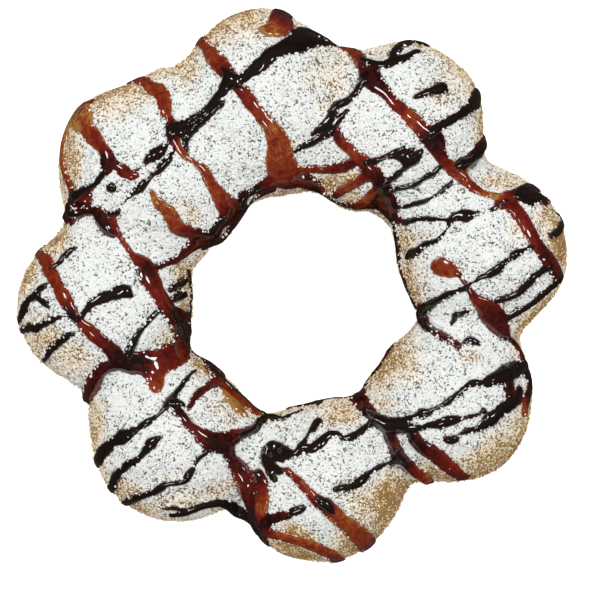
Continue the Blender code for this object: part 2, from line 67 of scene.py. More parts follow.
# ---------------------------------------------------------------- the drizzle (mm, in plan)
# Fruit sauce: (x, y, width, tone). Tone 0 is a thin orange-brown smear and 1 a nearly black pool.
FRUIT = (
    # across the top ball
    ((-16.4, 42.6, 1.6, .5), (-14.8, 41, 1.8, .4), (-13.6, 39.4, 2.8, .3), (-12.3, 37.6, 3, .35),
     (-11.3, 36.4, 2.8, .6), (-10.2, 35.2, 2.4, .8), (-8.8, 33.4, 2, .75), (-7.6, 32, 2.2, .45),
     (-6.6, 30.6, 2.4, .4), (-5.4, 29.2, 2.2, .35), (-4.4, 27.8, 2.2, .3), (-3.4, 26.6, 2.6, .2),
     (-2.4, 25, 3.4, .28), (-1.8, 23, 4.2, .27), (-1.6, 21, 5, .28), (-1, 19, 5, .42),
     (0, 17.4, 4, .75)),
    ((-4.6, 43.5, 1.4, .12), (-3.2, 43.4, 3, .15), (-2, 43.9, 4, .28), (-1.3, 45.1, 4.4, .6),
     (-1, 46.6, 3.6, .9)),
    # across the upper left ball
    ((-28, 34.6, .8, .8), (-26, 34.2, 1.4, .6), (-24.8, 33.8, 1.8, .5), (-23.8, 32.8, 1.8, .4),
     (-22.5, 32, 2.6, .35), (-21.6, 31, 2.6, .35), (-21.4, 29.8, 2.4, .35), (-20.9, 28.5, 1.3, .4),
     (-20.3, 27.5, 1.5, .7), (-20.2, 26, 1.9, .95), (-19.8, 24.8, 2.2, .8), (-18.9, 23, 1.3, .35),
     (-17.8, 21.8, 1.2, .35), (-16.5, 20.9, 1, .35), (-15, 19.8, 1.8, .35), (-14, 18.5, 1.9, .4),
     (-13.5, 17.2, 1.9, .35), (-12.7, 16, 2.3, .3), (-11.6, 14.5, 3.3, .35),
     (-10.5, 13, 4.2, .7)),
    ((-35.4, 30.6, 1.8, .2), (-34.9, 28.6, 2.4, .15), (-34.7, 27, 2.4, .2), (-33.6, 25, 2.7, .35),
     (-32.6, 23.8, 2.3, .4), (-31.6, 22.6, 2, .6), (-31, 21, 2.6, .92), (-31.2, 19.4, 2, .95)),
    ((-31, 20.6, 2, .95), (-29.6, 20, 1.4, .8), (-28.2, 19.1, 2, .65), (-26.8, 18.5, 1.5, .6),
     (-26, 18.4, .8, .6)),
    ((-34, 31.2, 1.2, .7), (-36, 30, 1.9, .35), (-37.8, 27, 2, .15), (-38.8, 24, 1.6, .2),
     (-38.9, 21, 1.3, .24), (-38.5, 19, 1.3, .34), (-37.4, 16.5, 1.5, .45), (-36.2, 15, 2, .75)),
    ((-36.2, 15, 1.8, .9), (-35, 15.7, 1.5, .9), (-33.8, 16.3, 1, .9)),
    ((-37, 14.8, 2, .95), (-37.5, 13, 2.4, .97), (-38.1, 11.2, 1.6, .95)),
    ((-36.6, 29, 2.6, .1), (-36.2, 27.4, 2, .05), (-35.6, 26.4, 1, .1)),
    ((-23.4, 15.6, .8, .3), (-22.5, 14, 1.8, .2), (-21.5, 12.8, 2, .2), (-20.5, 12.2, 2.3, .2),
     (-19.8, 10.8, 2.5, .25), (-19.2, 9.6, 2.6, .35), (-18, 8.8, 2.6, .6), (-16.5, 8.4, 2.4, .8),
     (-15, 8.4, 2, .9)),
    # across the left ball
    ((-36.2, 15.2, 2, .8), (-36.3, 13.8, 2.8, .85), (-36.9, 12, 2.4, .92), (-37.3, 10.6, 1.2, .92)),
    ((-36, 15, 1.6, .75), (-34.6, 14.4, 1.4, .7), (-33.9, 15, .8, .6)),
    ((-37.4, 11.4, 1.8, .9), (-36.3, 12, 2.2, .85), (-34.5, 12.6, 2, .9), (-33, 12.4, 2.2, .9),
     (-32.2, 11.6, 2.6, .92), (-31.7, 10.2, 2.5, .95), (-30.8, 9, 1.6, .9), (-30, 8.3, .7, .8)),
    ((-29.9, 11.2, .8, .6), (-29.7, 9.8, 1, .6), (-28.9, 8.2, 1, .55), (-28, 6.8, 1, .5),
     (-26.8, 5.2, 1.1, .5), (-25.6, 4.1, 2.2, .6), (-24.7, 2.9, 3.6, .8), (-24, 1.4, 4, .75),
     (-23.1, 0, 3.6, .6), (-22.4, -1.5, 3.2, .5), (-21.4, -3, 3.2, .55), (-20.4, -4.5, 3.2, .75),
     (-19.6, -6, 3, .8), (-18.6, -8, 2.8, .85), (-17.8, -10, 3, .85)),
    ((-20.6, -4.6, 2.4, .8), (-18.8, -5.2, 2.2, .85), (-17.4, -5.8, 1.6, .9)),
    ((-44.2, 6.6, 1.6, .4), (-42.3, 5, 2, .35), (-41.5, 3.8, 2.4, .4), (-40.8, 2.2, 2.4, .45),
     (-40, .8, 2.2, .45), (-39.2, -.8, 2.2, .4), (-38.3, -2.4, 2.4, .4), (-37.3, -4, 2.2, .7),
     (-36.3, -5.8, 1.8, .6), (-35, -7, 1.9, .45), (-33.5, -8.4, 2.4, .5), (-31.8, -9.8, 2.4, .7),
     (-30, -11.6, 2.6, .85), (-28.5, -13, 3, .95), (-25.5, -13.1, 3.2, .95),
     (-23, -12.6, 2.8, .9), (-21, -11.8, 3.2, .8), (-19, -11, 3.8, .75), (-17.6, -9.6, 3, .85)),
    ((-28, -13, 3.6, .95), (-31, -14, 2.5, .9), (-32.5, -15.2, 2.3, .85), (-33.5, -17, 2.6, .8),
     (-34.4, -19, 2.6, .8)),
    ((-27, -13.6, 3.4, .9), (-25, -13.4, 4.4, .85), (-23, -13.4, 5, .55), (-21, -12.7, 5.2, .6),
     (-19.2, -11.8, 4.4, .6), (-17.8, -10.6, 3.2, .8)),
    ((-23, -14.4, 3.6, .55), (-22.9, -16.2, 3, .35), (-22.8, -17.2, 2.4, .3)),
    # the lower left and bottom balls
    ((-20.3, -20.3, 1.4, .95), (-19, -21.5, 1.6, .85), (-18, -22.6, 1.5, .8), (-17, -24, 1.5, .7),
     (-15.8, -25, 2.1, .65), (-14.5, -26, 2.8, .8), (-13, -26.8, 3.4, .92), (-11, -27, 3.4, .9),
     (-10.3, -28.4, 2.6, .85), (-9.8, -29.8, 2.4, .8), (-8.5, -31.5, 3, .75),
     (-7.5, -33.5, 3.6, .65), (-6.8, -36, 4, .8), (-6, -38.5, 4.3, .9), (-5.2, -41, 4, .95),
     (-4.4, -43, 3, .95)),
    ((-11, -26.8, 3.2, .9), (-9.6, -26, 2.8, .8), (-8, -25.3, 1.8, .7), (-6.5, -24.6, 1.3, .7)),
    ((-8.6, -32, 2, .35), (-8.2, -34, 2, .4), (-7.4, -36, 2, .6)),
    ((-5.4, -33.8, 3, .75), (-5, -35.6, 3.4, .4), (-4.9, -37.4, 3.4, .16), (-5.2, -39, 3.4, .5)),
    ((-5.6, -32, 1.6, .9), (-5.1, -33, 2, .9), (-4.3, -33.9, 1.2, .8)),
    ((-13.9, -13.8, 2.2, .85), (-12, -16, 3.2, .7), (-10.5, -17.6, 3.4, .45),
     (-9, -19, 3, .35), (-7.5, -20.3, 2.6, .35), (-6.3, -21.6, 2.3, .4), (-5.8, -22.1, 1.8, .35)),
    ((-11.4, -18.2, 1.2, .05), (-10, -19.8, 2, 0), (-8.6, -21.2, 1.8, 0), (-7.6, -22.3, 1.2, .1)),
    ((-17.1, -21, .8, .9), (-16.5, -19.6, 1.1, .85), (-15.6, -18.4, 1.2, .8), (-14.2, -17.5, 1.4, .75),
     (-13, -16.8, 1.7, .75), (-11.8, -16.3, 1.8, .7)),
    ((-.8, -31.4, 1, .5), (.6, -32.6, 1.3, .5), (1.6, -33.6, 1.3, .5), (2.8, -34.8, 1.5, .4),
     (3.8, -35.8, 1.6, .4), (4.8, -36.8, 2.3, .8), (6, -37.6, 2.6, .7), (7, -38.6, 2.5, .35),
     (8.4, -39.8, 2.4, .25), (9.8, -41, 2.5, .25), (11, -42.2, 2.8, .3), (12.4, -43.4, 3.2, .35),
     (13.4, -44.8, 3, .5)),
    ((-4, -41.4, 2.4, .85), (-2.6, -42, 2, .5), (-.8, -42.6, 1.9, .32), (1, -43.2, 2, .26),
     (2.8, -44, 2.1, .26), (4.4, -44.8, 2.2, .3), (6, -45.6, 2.3, .38), (7.4, -46.6, 2.2, .5),
     (8.6, -48, 2, .7)),
    ((-4.2, -40, 2.4, .95), (-2.4, -39.4, 1.8, .95), (-.6, -39, 1.6, .9), (.4, -38.7, .8, .8)),
    # the lower right ball
    ((12.8, -18, 2.4, .9), (11.8, -19, 3.4, .9), (12.2, -20.4, 3, .9), (13.4, -22, 2.4, .9),
     (16.5, -23.6, 1.8, .85), (18.5, -24.2, 1.9, .8), (20.2, -24.8, 2, .85),
     (20.8, -26, 2.6, .88), (21.8, -27.2, 3.2, .88), (23.3, -28.2, 3.3, .8), (24.8, -29.3, 3.1, .65),
     (26.2, -30.6, 2.9, .55), (27.6, -31.8, 2.6, .6), (29.2, -33, 2.2, .8)),
    ((16.4, -24.4, 2.4, .95), (16.9, -26, 2.2, .9), (17.5, -27.4, 2.2, .85),
     (18.1, -28.6, 2.8, .92), (19.2, -30, 2.9, .9), (20.6, -31.4, 2.6, .6),
     (21.9, -32.4, 2.4, .35), (23, -33.4, 2, .4), (23.8, -34.4, 1.4, .7)),
    ((37, -15, 2.6, .9), (37.1, -16.6, 2.7, .9), (37.4, -18, 2.7, .85), (38, -19.4, 2.4, .9)),
    ((38.6, -14.2, 2.6, .95), (40, -14.5, 2.2, 1), (40.9, -16, 2, 1), (41.1, -17.8, 1.9, 1),
     (40.7, -19.4, 2.2, .9), (40.1, -20.7, 2.2, .35), (40.4, -21.9, 1.3, .3)),
    # the right ball
    ((24.9, 2.9, 2.6, .34), (25.8, 2.8, 3.3, .3), (26.8, 2.5, 2.9, .32), (27.8, 2.2, 1.9, .3),
     (28.7, 1.6, 1.1, .6), (29.4, .4, .8, .9), (29.9, -.4, 1.1, .9), (30.6, -1.4, 1.5, .8),
     (31.5, -2.7, 2.2, .45), (33, -3.9, 3.2, .7), (34.4, -5.5, 4.2, .8), (35.5, -7.1, 3.6, .75),
     (36.3, -8.4, 2.2, .85), (36.9, -9.2, 1.1, .9), (37.8, -10, 1.1, .9), (38.6, -11.2, 1.1, .8),
     (39.4, -12.4, 1.4, .8), (39.6, -13.4, 2, .8)),
    ((22, -4.5, 2.4, .9), (22.4, -6, 2.2, .9), (23.5, -7.4, 1.9, .85), (25.5, -8.6, 1.7, .8),
     (27, -9.6, 1.7, .8), (28.4, -10.2, 1.4, .8)),
    ((35.4, 13.5, 1.4, .6), (36.8, 13.4, 2.2, .65), (38.2, 12.7, 2.7, .6), (39.4, 11.2, 2.7, .5),
     (40.3, 9.6, 2.5, .5), (41.1, 8.1, 2.5, .55), (42, 6.6, 2.5, .7), (43.1, 5, 2.6, .8),
     (44.2, 3.6, 2.8, .65), (45.1, 2.2, 2.8, .8), (46, .8, 2.4, .92)),
    ((36.4, 15, 1.4, .4), (38.4, 15.2, 2.6, .85), (40.2, 15.4, 3.4, .95), (41.9, 15.2, 3, .95),
     (43.2, 14.4, 2, .95)),
    ((27.5, 19.1, 1.6, .8), (29, 19.9, 2.4, .92), (30.8, 21.1, 2.7, .95), (32.2, 22.7, 2.7, .95),
     (33.2, 24.4, 2.5, .95)),
    # across the upper right ball
    ((8.4, 41.6, 1.4, .6), (9.6, 40.4, 2, .4), (10.8, 39.6, 2.4, .4), (11.8, 38.4, 2.4, .5),
     (12.6, 37, 2.7, .8), (13.4, 35.6, 3.6, .92), (14.2, 34.2, 3.2, .9), (15.5, 33.2, 2.5, .8),
     (16.6, 32, 1.9, .75), (17.6, 30.8, 2, .6), (18.8, 29.8, 2.1, .55), (19.8, 28.8, 2.3, .35),
     (21, 27.6, 2.6, .35), (22.2, 26.4, 2.5, .55), (23.2, 25.4, 3, .92), (24.4, 24.3, 3.6, .96),
     (25.3, 22.4, 2.7, .8), (26.2, 20.8, 2.2, .5), (27.6, 19.6, 2.1, .4), (29, 18.4, 2.4, .4),
     (30.2, 17.2, 2, .4), (31.6, 16.1, 1.6, .45), (32.8, 15.4, 1.3, .1), (34.4, 15.1, 1.2, .1),
     (36.2, 14.8, 1.4, .4), (38, 14.6, 2, .6)),
    ((7.6, 27, 1, .6), (8, 26, 1.6, .7), (8.3, 24.6, 2, .6), (9.4, 23.4, 2.1, .4),
     (10.8, 22.2, 1.9, .35), (12, 21.2, 1.9, .4), (12.8, 20.2, 2.6, .6), (13.8, 19, 3, .8),
     (15, 17.4, 2.8, .9), (15.6, 15.8, 3, .9), (16.2, 14, 3.6, .85), (17.4, 12.6, 2.6, .85)),
    # the rim of the hole
    ((-22.8, 2.8, .8, .9), (-21.3, 3.4, 1.2, .9), (-19.2, 4.3, 1.6, .85), (-17.2, 5.9, 2.4, .75),
     (-15, 7, 3.5, .75), (-13.2, 8.2, 3.5, .9), (-12.1, 9.8, 2.7, .97), (-10.4, 11.6, 3.4, .9),
     (-9, 12, 4, .9), (-8.3, 13.6, 2.8, .97), (-8, 15, 2.4, .97), (-6.2, 15.9, 1.8, .97),
     (-4.6, 16.5, 2.5, .9), (-2.4, 17.4, 3, .6), (.2, 17.7, 3.3, .7), (2.6, 17.3, 3.3, .8),
     (4, 16.5, 2.4, .85), (5.4, 15.5, 1.2, .85)),
    ((-14, 5.9, 1.6, .95), (-12.2, 6.9, 2, .97), (-10.7, 8.6, 1.8, .97), (-9.4, 10.2, 1.9, .97),
     (-7.9, 12, 1.7, .97), (-6.9, 13.8, 1.5, .97), (-5.2, 15, 1.2, .95), (-3, 15.9, 1.2, .9)),
    ((9.8, 13.2, 1, .9), (11.4, 12.5, 1.5, .93), (13.4, 12.3, 1.8, .93), (15.4, 12, 2.3, .9),
     (16.9, 10.8, 1.8, .95)),
    ((9.6, -19.6, 1.2, .95), (10.9, -19, 2.4, .9), (12.2, -18.2, 3.2, .85), (13, -16.8, 1.8, .95)),
    ((-3, 18.4, 1.2, .6), (2, 19.4, 1.3, .5), (5, 19.4, 1.4, .6), (8, 19.6, 1.8, .7),
     (10.6, 20.5, 1.4, .8)),
    ((7.4, 14.9, 1.4, .7), (9, 15.9, 1.5, .3), (10.6, 16.9, 1.4, .3), (12.6, 18, 1.6, .6)),
    ((11.4, 12.7, 1.7, .7), (12.8, 13.9, 1.7, .24), (14.2, 15.3, 1.8, .5)),
    ((14.6, 13.6, 2.4, .85), (16.2, 12.4, 2.8, .75), (17.8, 10.8, 2, .9)),
)
# Chocolate sauce: (x, y, width).
CHOCOLATE = (
    # across the upper left and top balls
    ((-20.6, 26.6, 1.2), (-18, 27.2, 1.6), (-16.5, 28, 1.5), (-15, 29, 1.2), (-14, 30, 1.1),
     (-13, 31, 1.4), (-12, 32.2, 1.5), (-11, 33.6, 2.2), (-10, 34.5, 2.6), (-8.5, 34.9, 1.8),
     (-7.2, 36, 1.4), (-6, 37.2, 1.4), (-5, 37.8, 1.7), (-4, 38.8, 1.9), (-2.5, 39.6, 2.1),
     (-1, 40.2, 2.8), (.8, 40.9, 3.6), (2.5, 41.6, 3.6), (4, 41.9, 2.8), (5.5, 41.5, 1.6),
     (7, 41, 1.1), (8.6, 40.6, .8)),
    ((1.6, 43, 2), (2.8, 43.8, 2.2), (4.4, 43.2, 2.4), (5.9, 42.3, 1.8), (7.2, 41.6, 1.2)),
    ((-20.4, 25.6, 1.6), (-18, 26, 1.8), (-16.5, 26.6, 1.5), (-15, 27.6, 1.3), (-14, 28.6, 1.1),
     (-13, 29.6, 1), (-11.6, 30.8, .8)),
    ((-16, 26.6, .9), (-17.2, 25.2, 1), (-17.8, 24, 1.1), (-17.6, 22.9, .8)),
    ((-11.8, 37, .6), (-11, 36, 1.2), (-10, 34.8, 1.8), (-9, 33.8, 1.4), (-8.4, 33, .8)),
    ((-7.8, 34.8, .9), (-6.4, 35.6, 1), (-5.2, 36.3, 1.2), (-4, 37.4, 1.1), (-2.8, 38.3, 1)),
    ((-24.7, 20.9, .4), (-23.7, 21.6, 1.5), (-22.8, 22.2, 2.2), (-21.8, 22.8, 1.7), (-20.9, 23.6, .9),
     (-20.2, 24.8, 1.1)),
    ((-28.9, 13.3, .4), (-28, 14.1, .25), (-26.8, 15.3, .8), (-25.5, 16.3, 1.7), (-24.6, 17.2, 1.2),
     (-23.8, 18.1, .6), (-22.5, 19.2, 1.1), (-21.2, 20.6, 1.4), (-20.3, 21.8, 1.1),
     (-19.4, 23.4, .6)),
    ((-26.6, 19.1, .4), (-25.4, 19.8, .35), (-24.3, 20.5, .4)),
    ((-36.4, 15, 2.2), (-35.2, 15.8, 1.3), (-34, 16.4, .9), (-33.2, 17, 1), (-32.2, 18.2, 1.2),
     (-31.3, 19.1, 1.3)),
    ((-30.5, 16.4, 1.8), (-30.35, 16.3, 1.8)),
    ((-37.7, 13.6, 1.2), (-37.2, 12.2, 1.6), (-36.3, 11.7, 1.4), (-35.2, 12, .9)),
    ((-30.8, 12, .8), (-29.8, 11.9, 1.1), (-28.9, 12.5, .8)),
    ((-20.4, -4, 1.2), (-19.5, -6, 1.4), (-18.7, -8, 1.6), (-18.2, -9.6, 1.4)),
    # short strokes on the left ball
    ((-41, 2.2, .7), (-40.2, 3, .9), (-39, 4, 1.1), (-38.2, 5.2, 1.1), (-37, 6, 1),
     (-36.3, 6.2, .6)),
    ((-38.2, -3.6, .8), (-37.3, -4.9, 1.2), (-36, -5.9, 1.3), (-34.8, -4.6, .9), (-33.8, -3.5, 1),
     (-32.3, -2.9, 1.1), (-30.8, -2.3, 1.2), (-29.2, -1.7, 1.4), (-27.8, -1.2, 1.8),
     (-26.8, -1.9, .8)),
    ((-33.9, -3, .7), (-32.2, -2, .9), (-30.5, -1.4, 1), (-29.2, -.7, 1), (-27.6, -.6, 1)),
    ((-46.6, -6.6, 1), (-45.6, -4.5, 1.4), (-44.8, -3, 1.3), (-43.8, -2, 1.1), (-42.8, -.9, 1),
     (-41.6, -.1, .7)),
    ((-43.4, -2, .8), (-42.4, -2.7, .9), (-41.3, -3.5, .8)),
    ((-46.6, -8, 1), (-45.2, -7.6, 1.3), (-43.5, -7.4, 1.5), (-42.3, -6.9, 1.1), (-41, -6.2, .9),
     (-39.8, -5.7, .8), (-38.3, -5.4, .6)),
    ((-42.2, -13, .9), (-41.4, -12, 1.2), (-40.9, -11.2, 1.3), (-39.8, -10.3, 1.1),
     (-38.8, -9.5, 1.1), (-37.8, -8.7, 1), (-36.8, -8.4, .8)),
    ((-27.4, -12, 1.5), (-27.2, -11.3, 1.7), (-26.5, -9.8, 1.4), (-25.5, -8.3, 1),
     (-24.5, -6.8, 1), (-23.5, -5.6, 1.1), (-22.4, -4.6, 1.2)),
    ((-20.4, -1, .9), (-19, 0, 1.2), (-17.6, .7, 1)),
    ((-19.8, -2.5, 1.1), (-18.8, -2, 1.6), (-17.8, -1.7, 1.2)),
    # the lower left ball
    ((-33.4, -30.4, 1.8), (-32.6, -29.3, 2.2), (-31.9, -28.3, 2.2), (-30.9, -27.5, 2),
     (-30, -26.6, 1.7), (-28.7, -26, 2.5), (-27.3, -25.2, 1.7), (-26, -24.4, .9),
     (-24.8, -23.6, 1.4), (-23.6, -22.9, .9), (-22.3, -21.9, .5), (-21.2, -20.9, .8),
     (-20.3, -20, 2), (-19.8, -18.9, 1.2), (-18.8, -17.6, .8), (-17.9, -16.4, .8),
     (-16.8, -15.2, .5), (-16.2, -14.6, .4)),
    ((-20.4, -20, 1.6), (-19.2, -20, 1.4), (-18.2, -20.3, .8)),
    ((-30.8, -35, 1.2), (-30.4, -34.2, 1.6), (-29.9, -32.8, 1.4), (-28.8, -31.6, 1.3),
     (-27.6, -30.5, 1.4), (-26.4, -30, 1.4), (-25.4, -29.1, 1), (-24.4, -27.9, 1.5),
     (-23.6, -26.9, 1.9), (-22.8, -26.3, 1.3), (-22, -25.9, .6)),
    ((-29, -37.6, 1), (-27.8, -37, 1.4), (-26, -36.2, 1.2), (-24, -35.6, 1.2),
     (-22.4, -34.9, 1.4), (-21.2, -34, 1), (-19.6, -33.7, .9), (-18.2, -33.4, 1.2),
     (-17.2, -32.4, 1.3), (-16.4, -30.9, .7), (-15.8, -29.8, .9), (-15, -28.9, 1.2),
     (-13.8, -28.2, 1.1)),
    ((-21.4, -38.2, .7), (-19.5, -38.2, .7), (-17.8, -38.5, .8)),
    ((-20.2, -39.4, .8), (-18, -38.9, 1.2), (-16, -38.1, 1.6), (-13.5, -37.4, 1.6),
     (-11.5, -37.3, 1.8), (-9.5, -37.8, 2.6), (-7.5, -39, 3), (-5.6, -41, 3.6)),
    ((-14.4, -13.8, 1), (-12.8, -15.4, 1), (-11.2, -16.8, 1.1), (-9.6, -18.2, 1),
     (-7.8, -19.6, 1.1), (-6.2, -21.2, 1.2), (-4.6, -22.6, 1.4)),
    # the bottom ball
    ((-8.8, -25.8, 1.2), (-7.4, -25.2, 1.5), (-6.2, -24.6, 1.5), (-4.8, -23.4, 1.9),
     (-3.2, -22.8, 1.7), (-1.6, -22.9, 1.1), (-.2, -22.2, .7), (1.8, -21.1, .5)),
    ((4.6, -20.2, .5), (6.4, -19.4, .9), (8.2, -19, 1), (10.2, -18.4, 1.2), (12, -18, 1.8)),
    ((-2.7, -33, 1.2), (-3.2, -32.2, 1.5), (-3.8, -31.2, 1.5), (-4.4, -30, 1.5),
     (-4.6, -28.8, 1.4), (-4.1, -27.6, 1.3), (-3, -27, 1.3), (-1.8, -27.5, 1.5),
     (-.5, -28.5, 1.5), (.7, -28.8, 1.3), (1.4, -28, 1.2), (1.9, -27.5, 1.2), (3.2, -27.5, 1.1),
     (4.4, -26.9, 1.1), (5.6, -26, 1.3), (6.8, -25.3, 1.3), (8, -25.4, 1.3), (9, -26, 1.2),
     (10.4, -25.8, 1.2), (11.6, -25.1, 1.3), (13, -24.3, 1.3), (14.4, -23.4, 1.8)),
    ((4.4, -35.9, .6), (5.4, -36.8, 1.6), (6.6, -37.8, 1.6), (7.4, -38.7, .8)),
    ((2.8, -28.5, .5), (4.6, -27.7, .6), (6, -26.5, .5)),
    ((1.6, -27, .6), (2.3, -26.4, .8), (3, -25.5, .8), (3.8, -24.4, 1.2), (4.6, -23.1, 1.5)),
    ((.4, -38.5, 1.5), (1.6, -38.1, 1.4), (3, -37.6, .4)),
    ((7.6, -34.8, .7), (9, -34.6, 1.2), (10.4, -34.3, 1.1), (11.8, -33.5, 1.5),
     (12.8, -32.4, 1.3), (14, -31.6, .8), (15, -31, .9), (16, -30.5, .7), (17.2, -30.2, 1),
     (18.6, -29.9, 1.5)),
    # the lower right ball
    ((12.8, -22.6, 1.8), (14, -22.6, 1.7), (16, -23.2, 1.5), (18, -23.2, 1.1),
     (19.8, -22.8, .9), (21.2, -22.3, 1.1), (22.2, -22, 1.7), (23.4, -21.6, .9),
     (24.8, -20.9, .6), (26, -20.2, .8), (27.4, -19.3, 1), (28.8, -18.3, 1), (30, -17.3, 1.2),
     (31.2, -16.7, 1.3), (32.4, -16.8, .9), (33.4, -17, .6), (34.5, -16.5, 1.3),
     (36, -15.6, 2.4), (38, -14.6, 3), (39.6, -13.6, 2)),
    ((14.4, -23, 2.2), (16.3, -23.9, 2.4), (18.5, -24.3, 2.3), (20.5, -24.4, 1.7),
     (22, -24.2, 1.1), (23.6, -23.9, 1.2), (25.2, -23.6, 1.7), (26.8, -23.1, 1.9),
     (28.2, -22.9, 1.3), (29.6, -22.6, .8), (31.4, -22.2, .6), (32.8, -21.4, .9)),
    ((29.6, -24.8, .8), (31.2, -24.7, 1), (32.4, -24.2, 1.4), (33.6, -23.2, 2.2),
     (34.8, -22.2, 2.4), (36.2, -21.2, 2.2), (37.6, -20.4, 2.4), (38.8, -19.4, 2.2),
     (39.3, -18, 1.8)),
    ((33.4, -16.1, 1), (35, -15.4, 1.7), (36.6, -14.8, 2.4)),
    ((26.2, -26.2, .9), (27, -26.5, 1.4), (27.9, -26.3, 1.4), (28.4, -25.7, .5), (29.6, -25, .2)),
    # the right ball
    ((19.7, 4.6, 1.3), (20.2, 5.1, 1.7), (21.2, 5.6, 1.5), (22.4, 6.6, 1.2), (23.6, 7, .9),
     (25, 7.6, .7), (26, 8.8, .45), (26.8, 10, .8), (27.4, 11.2, 1.4), (28.6, 12, 1.5),
     (30, 11.8, 2), (31, 12, .9), (32.5, 12.4, .45), (34, 12.7, .7), (35.2, 13.4, 1),
     (36.6, 14, 1)),
    ((28.8, 11.3, 1.2), (29.7, 11.1, 1.3)),
    ((19, 10.2, .8), (20, 10.6, 1.1), (22, 11.2, .9), (24, 11.1, .7), (26.6, 11, .4)),
    ((29.8, 0, .35), (31, .3, .35), (32.2, 1.2, .6), (33.4, 1.6, 1.2), (34.8, 2.3, 1.5),
     (36, 3.4, 1.1), (37, 4.2, .8), (38.4, 5.2, 1.3), (39.6, 5.8, .8), (41.2, 6.4, .8)),
    ((34.4, -3.1, .8), (35.4, -2.8, 1.1), (37, -2.4, 1.1), (38.8, -1.4, 1.2), (40, -.2, 1.6),
     (41.2, 1, 1.4), (42.4, 2, 1.3), (44, 3, 1.5)),
    ((36.2, -6, 1), (37, -5.6, 1.4), (38.5, -4.8, 1.3), (40.4, -3.8, 1.2), (42, -2.5, 1.3),
     (43.6, -1.2, 1.4), (44.8, -.2, 1.5), (46, 1.2, 1.5)),
    ((22.4, -4.4, 2), (24.5, -3, 1.4), (26.2, -2, 1.2), (28, -1.3, 1), (30, -.7, .9)),
    ((22, -5, 2), (22.6, -6.6, 1.8), (24, -8, 1.3)),
    ((27.2, -6.8, .6), (27.7, -5.9, .9), (28, -5.3, 1.2), (29, -5.1, 1), (30.4, -4.5, .8)),
    ((29.2, -9.9, .5), (30.4, -9.3, 1.4), (31.8, -9.9, 1)),
    ((38.2, 14.8, 1.6), (39, 15.8, 1.8), (40.2, 16.6, 1.8), (41.3, 16.7, 1.6), (42.2, 16.2, 1)),
    ((38.8, 14.6, 1.5), (41, 14.2, 1.4), (43, 14.6, 1.2), (44.4, 14.4, .9)),
    ((45.6, 12, .8), (46.4, 10.6, 1.1), (45.7, 9, 1.1), (44.3, 8.3, .8)),
    # the upper right ball
    ((12.2, 38, 1.6), (14, 37.4, 1.7), (16, 37.3, 1.6), (17.2, 38.2, 1.6), (17.8, 39.6, 1.9),
     (18.9, 40.8, 2), (20.5, 41.4, 2.2), (21.9, 41.6, 3), (22.8, 41.1, 2.4)),
    ((16.6, 37.2, 1.3), (18.5, 38, 1.3), (20, 38.9, 1.2), (21.5, 39.8, 1)),
    ((20.8, 31.6, .6), (22.4, 32.2, 1.2), (24, 32.8, 1.5), (25.4, 33.3, 1.9), (26, 33.5, 1.8)),
    ((23.4, 24.2, .5), (23.6, 25.3, 1.4), (24.6, 26.2, 1.7), (25.8, 26.9, 1.5),
     (27.2, 27.8, 1.6), (29, 28.8, 1.5), (30.5, 29.9, 1.8), (31.6, 31.2, 2.6), (32, 32.4, 2.2)),
    ((27.2, 19.2, .4), (27.9, 20, 1.1), (28.8, 20.5, 1.6), (30.3, 21, 1.6), (31.5, 22.2, 1.7),
     (32.7, 23.4, 1.7), (33.4, 24.8, 1.8)),
    ((12.6, 34.6, 1.3), (11.8, 33.8, 1.4), (11, 32.5, 1.3), (9.8, 31.3, 1.2), (8.4, 30.6, 1.4),
     (7.3, 29.6, 1.5), (6.8, 28.3, 1.4), (6, 27, 1.5), (5, 26.3, 1), (3.8, 25.6, .8)),
    ((9.6, 29.4, .7), (8.4, 28.2, 1), (7.5, 27, 1.4), (6.6, 25.7, 1.6), (5, 24.8, 1.4),
     (3.6, 24, 1.6), (2, 23.2, 1.3), (.8, 22.4, .8)),
    ((12.8, 20.6, 1.5), (14.6, 20.9, .9), (16, 21.4, .8), (17.2, 22, .8), (18.2, 22.6, .9),
     (19.6, 23.3, .6)),
    ((17, 21.8, 1), (18.2, 21.6, 1.3), (19.4, 21.2, 2), (20.3, 20.8, 1.9), (21.4, 21.5, 1.6),
     (22.2, 22.6, .9)),
    ((19.2, 21.8, 1), (20, 22.5, .9), (20.8, 23, .6)),
    ((15.4, 16.6, 1.2), (16.4, 17.2, 1.2), (17.5, 18, 1.1), (18.8, 19.2, 1), (19.8, 20.2, 1)),
    ((16.4, 15.4, 1), (17.4, 15.6, 1.1), (18.5, 16, 1.2), (20.5, 16.6, 1.1), (22.4, 17.8, 1),
     (24.2, 18.8, 1.1), (25.6, 20, 1.2)),
    ((19, 12.6, .7), (21, 13.4, .9), (22.5, 14, .8), (24, 14.8, .8), (25.2, 15.4, .8),
     (26.4, 16.4, .8), (27.4, 17.2, .9)),
    # the rim of the hole, and dark runs along the foot of its wall; the dark runs are painted shade,
    # black chocolate laid where the wall turns under into shadow
    ((-17.1, 2.4, .4), (-16.8, .6, .6), (-16.6, -1.6, .5), (-16.8, -3.6, .6), (-17, -5.4, .9),
     (-17.1, -7.2, 1.2), (-16.8, -9, 1.2), (-16.4, -10.8, 1), (-15.2, -12.2, .8),
     (-13.8, -13.2, 1.3), (-12.8, -14, 1.5), (-11.6, -15.2, 1.3)),
    ((5.4, 15.4, .6), (7, 14.2, .8), (9.2, 13.1, .6), (11.4, 12.3, .8)),
    # Painted shade: a thin black run along the hole's edge, where the wall turns under into shadow.
    ((16.2, 11.4, .8), (17.3, 9.8, 1), (17.8, 7.4, .8), (18.2, 4.8, .9), (18.5, 2.6, .8),
     (19.2, .2, .7), (20.2, -2.2, .8), (21, -3.8, 1.2)),
    ((-.4, -20.9, .6), (1.9, -20.4, .9), (4.8, -19.8, 1.2), (6.6, -19, 1.4), (8.4, -19, 1.2),
     (9.6, -19.5, 1.3)),
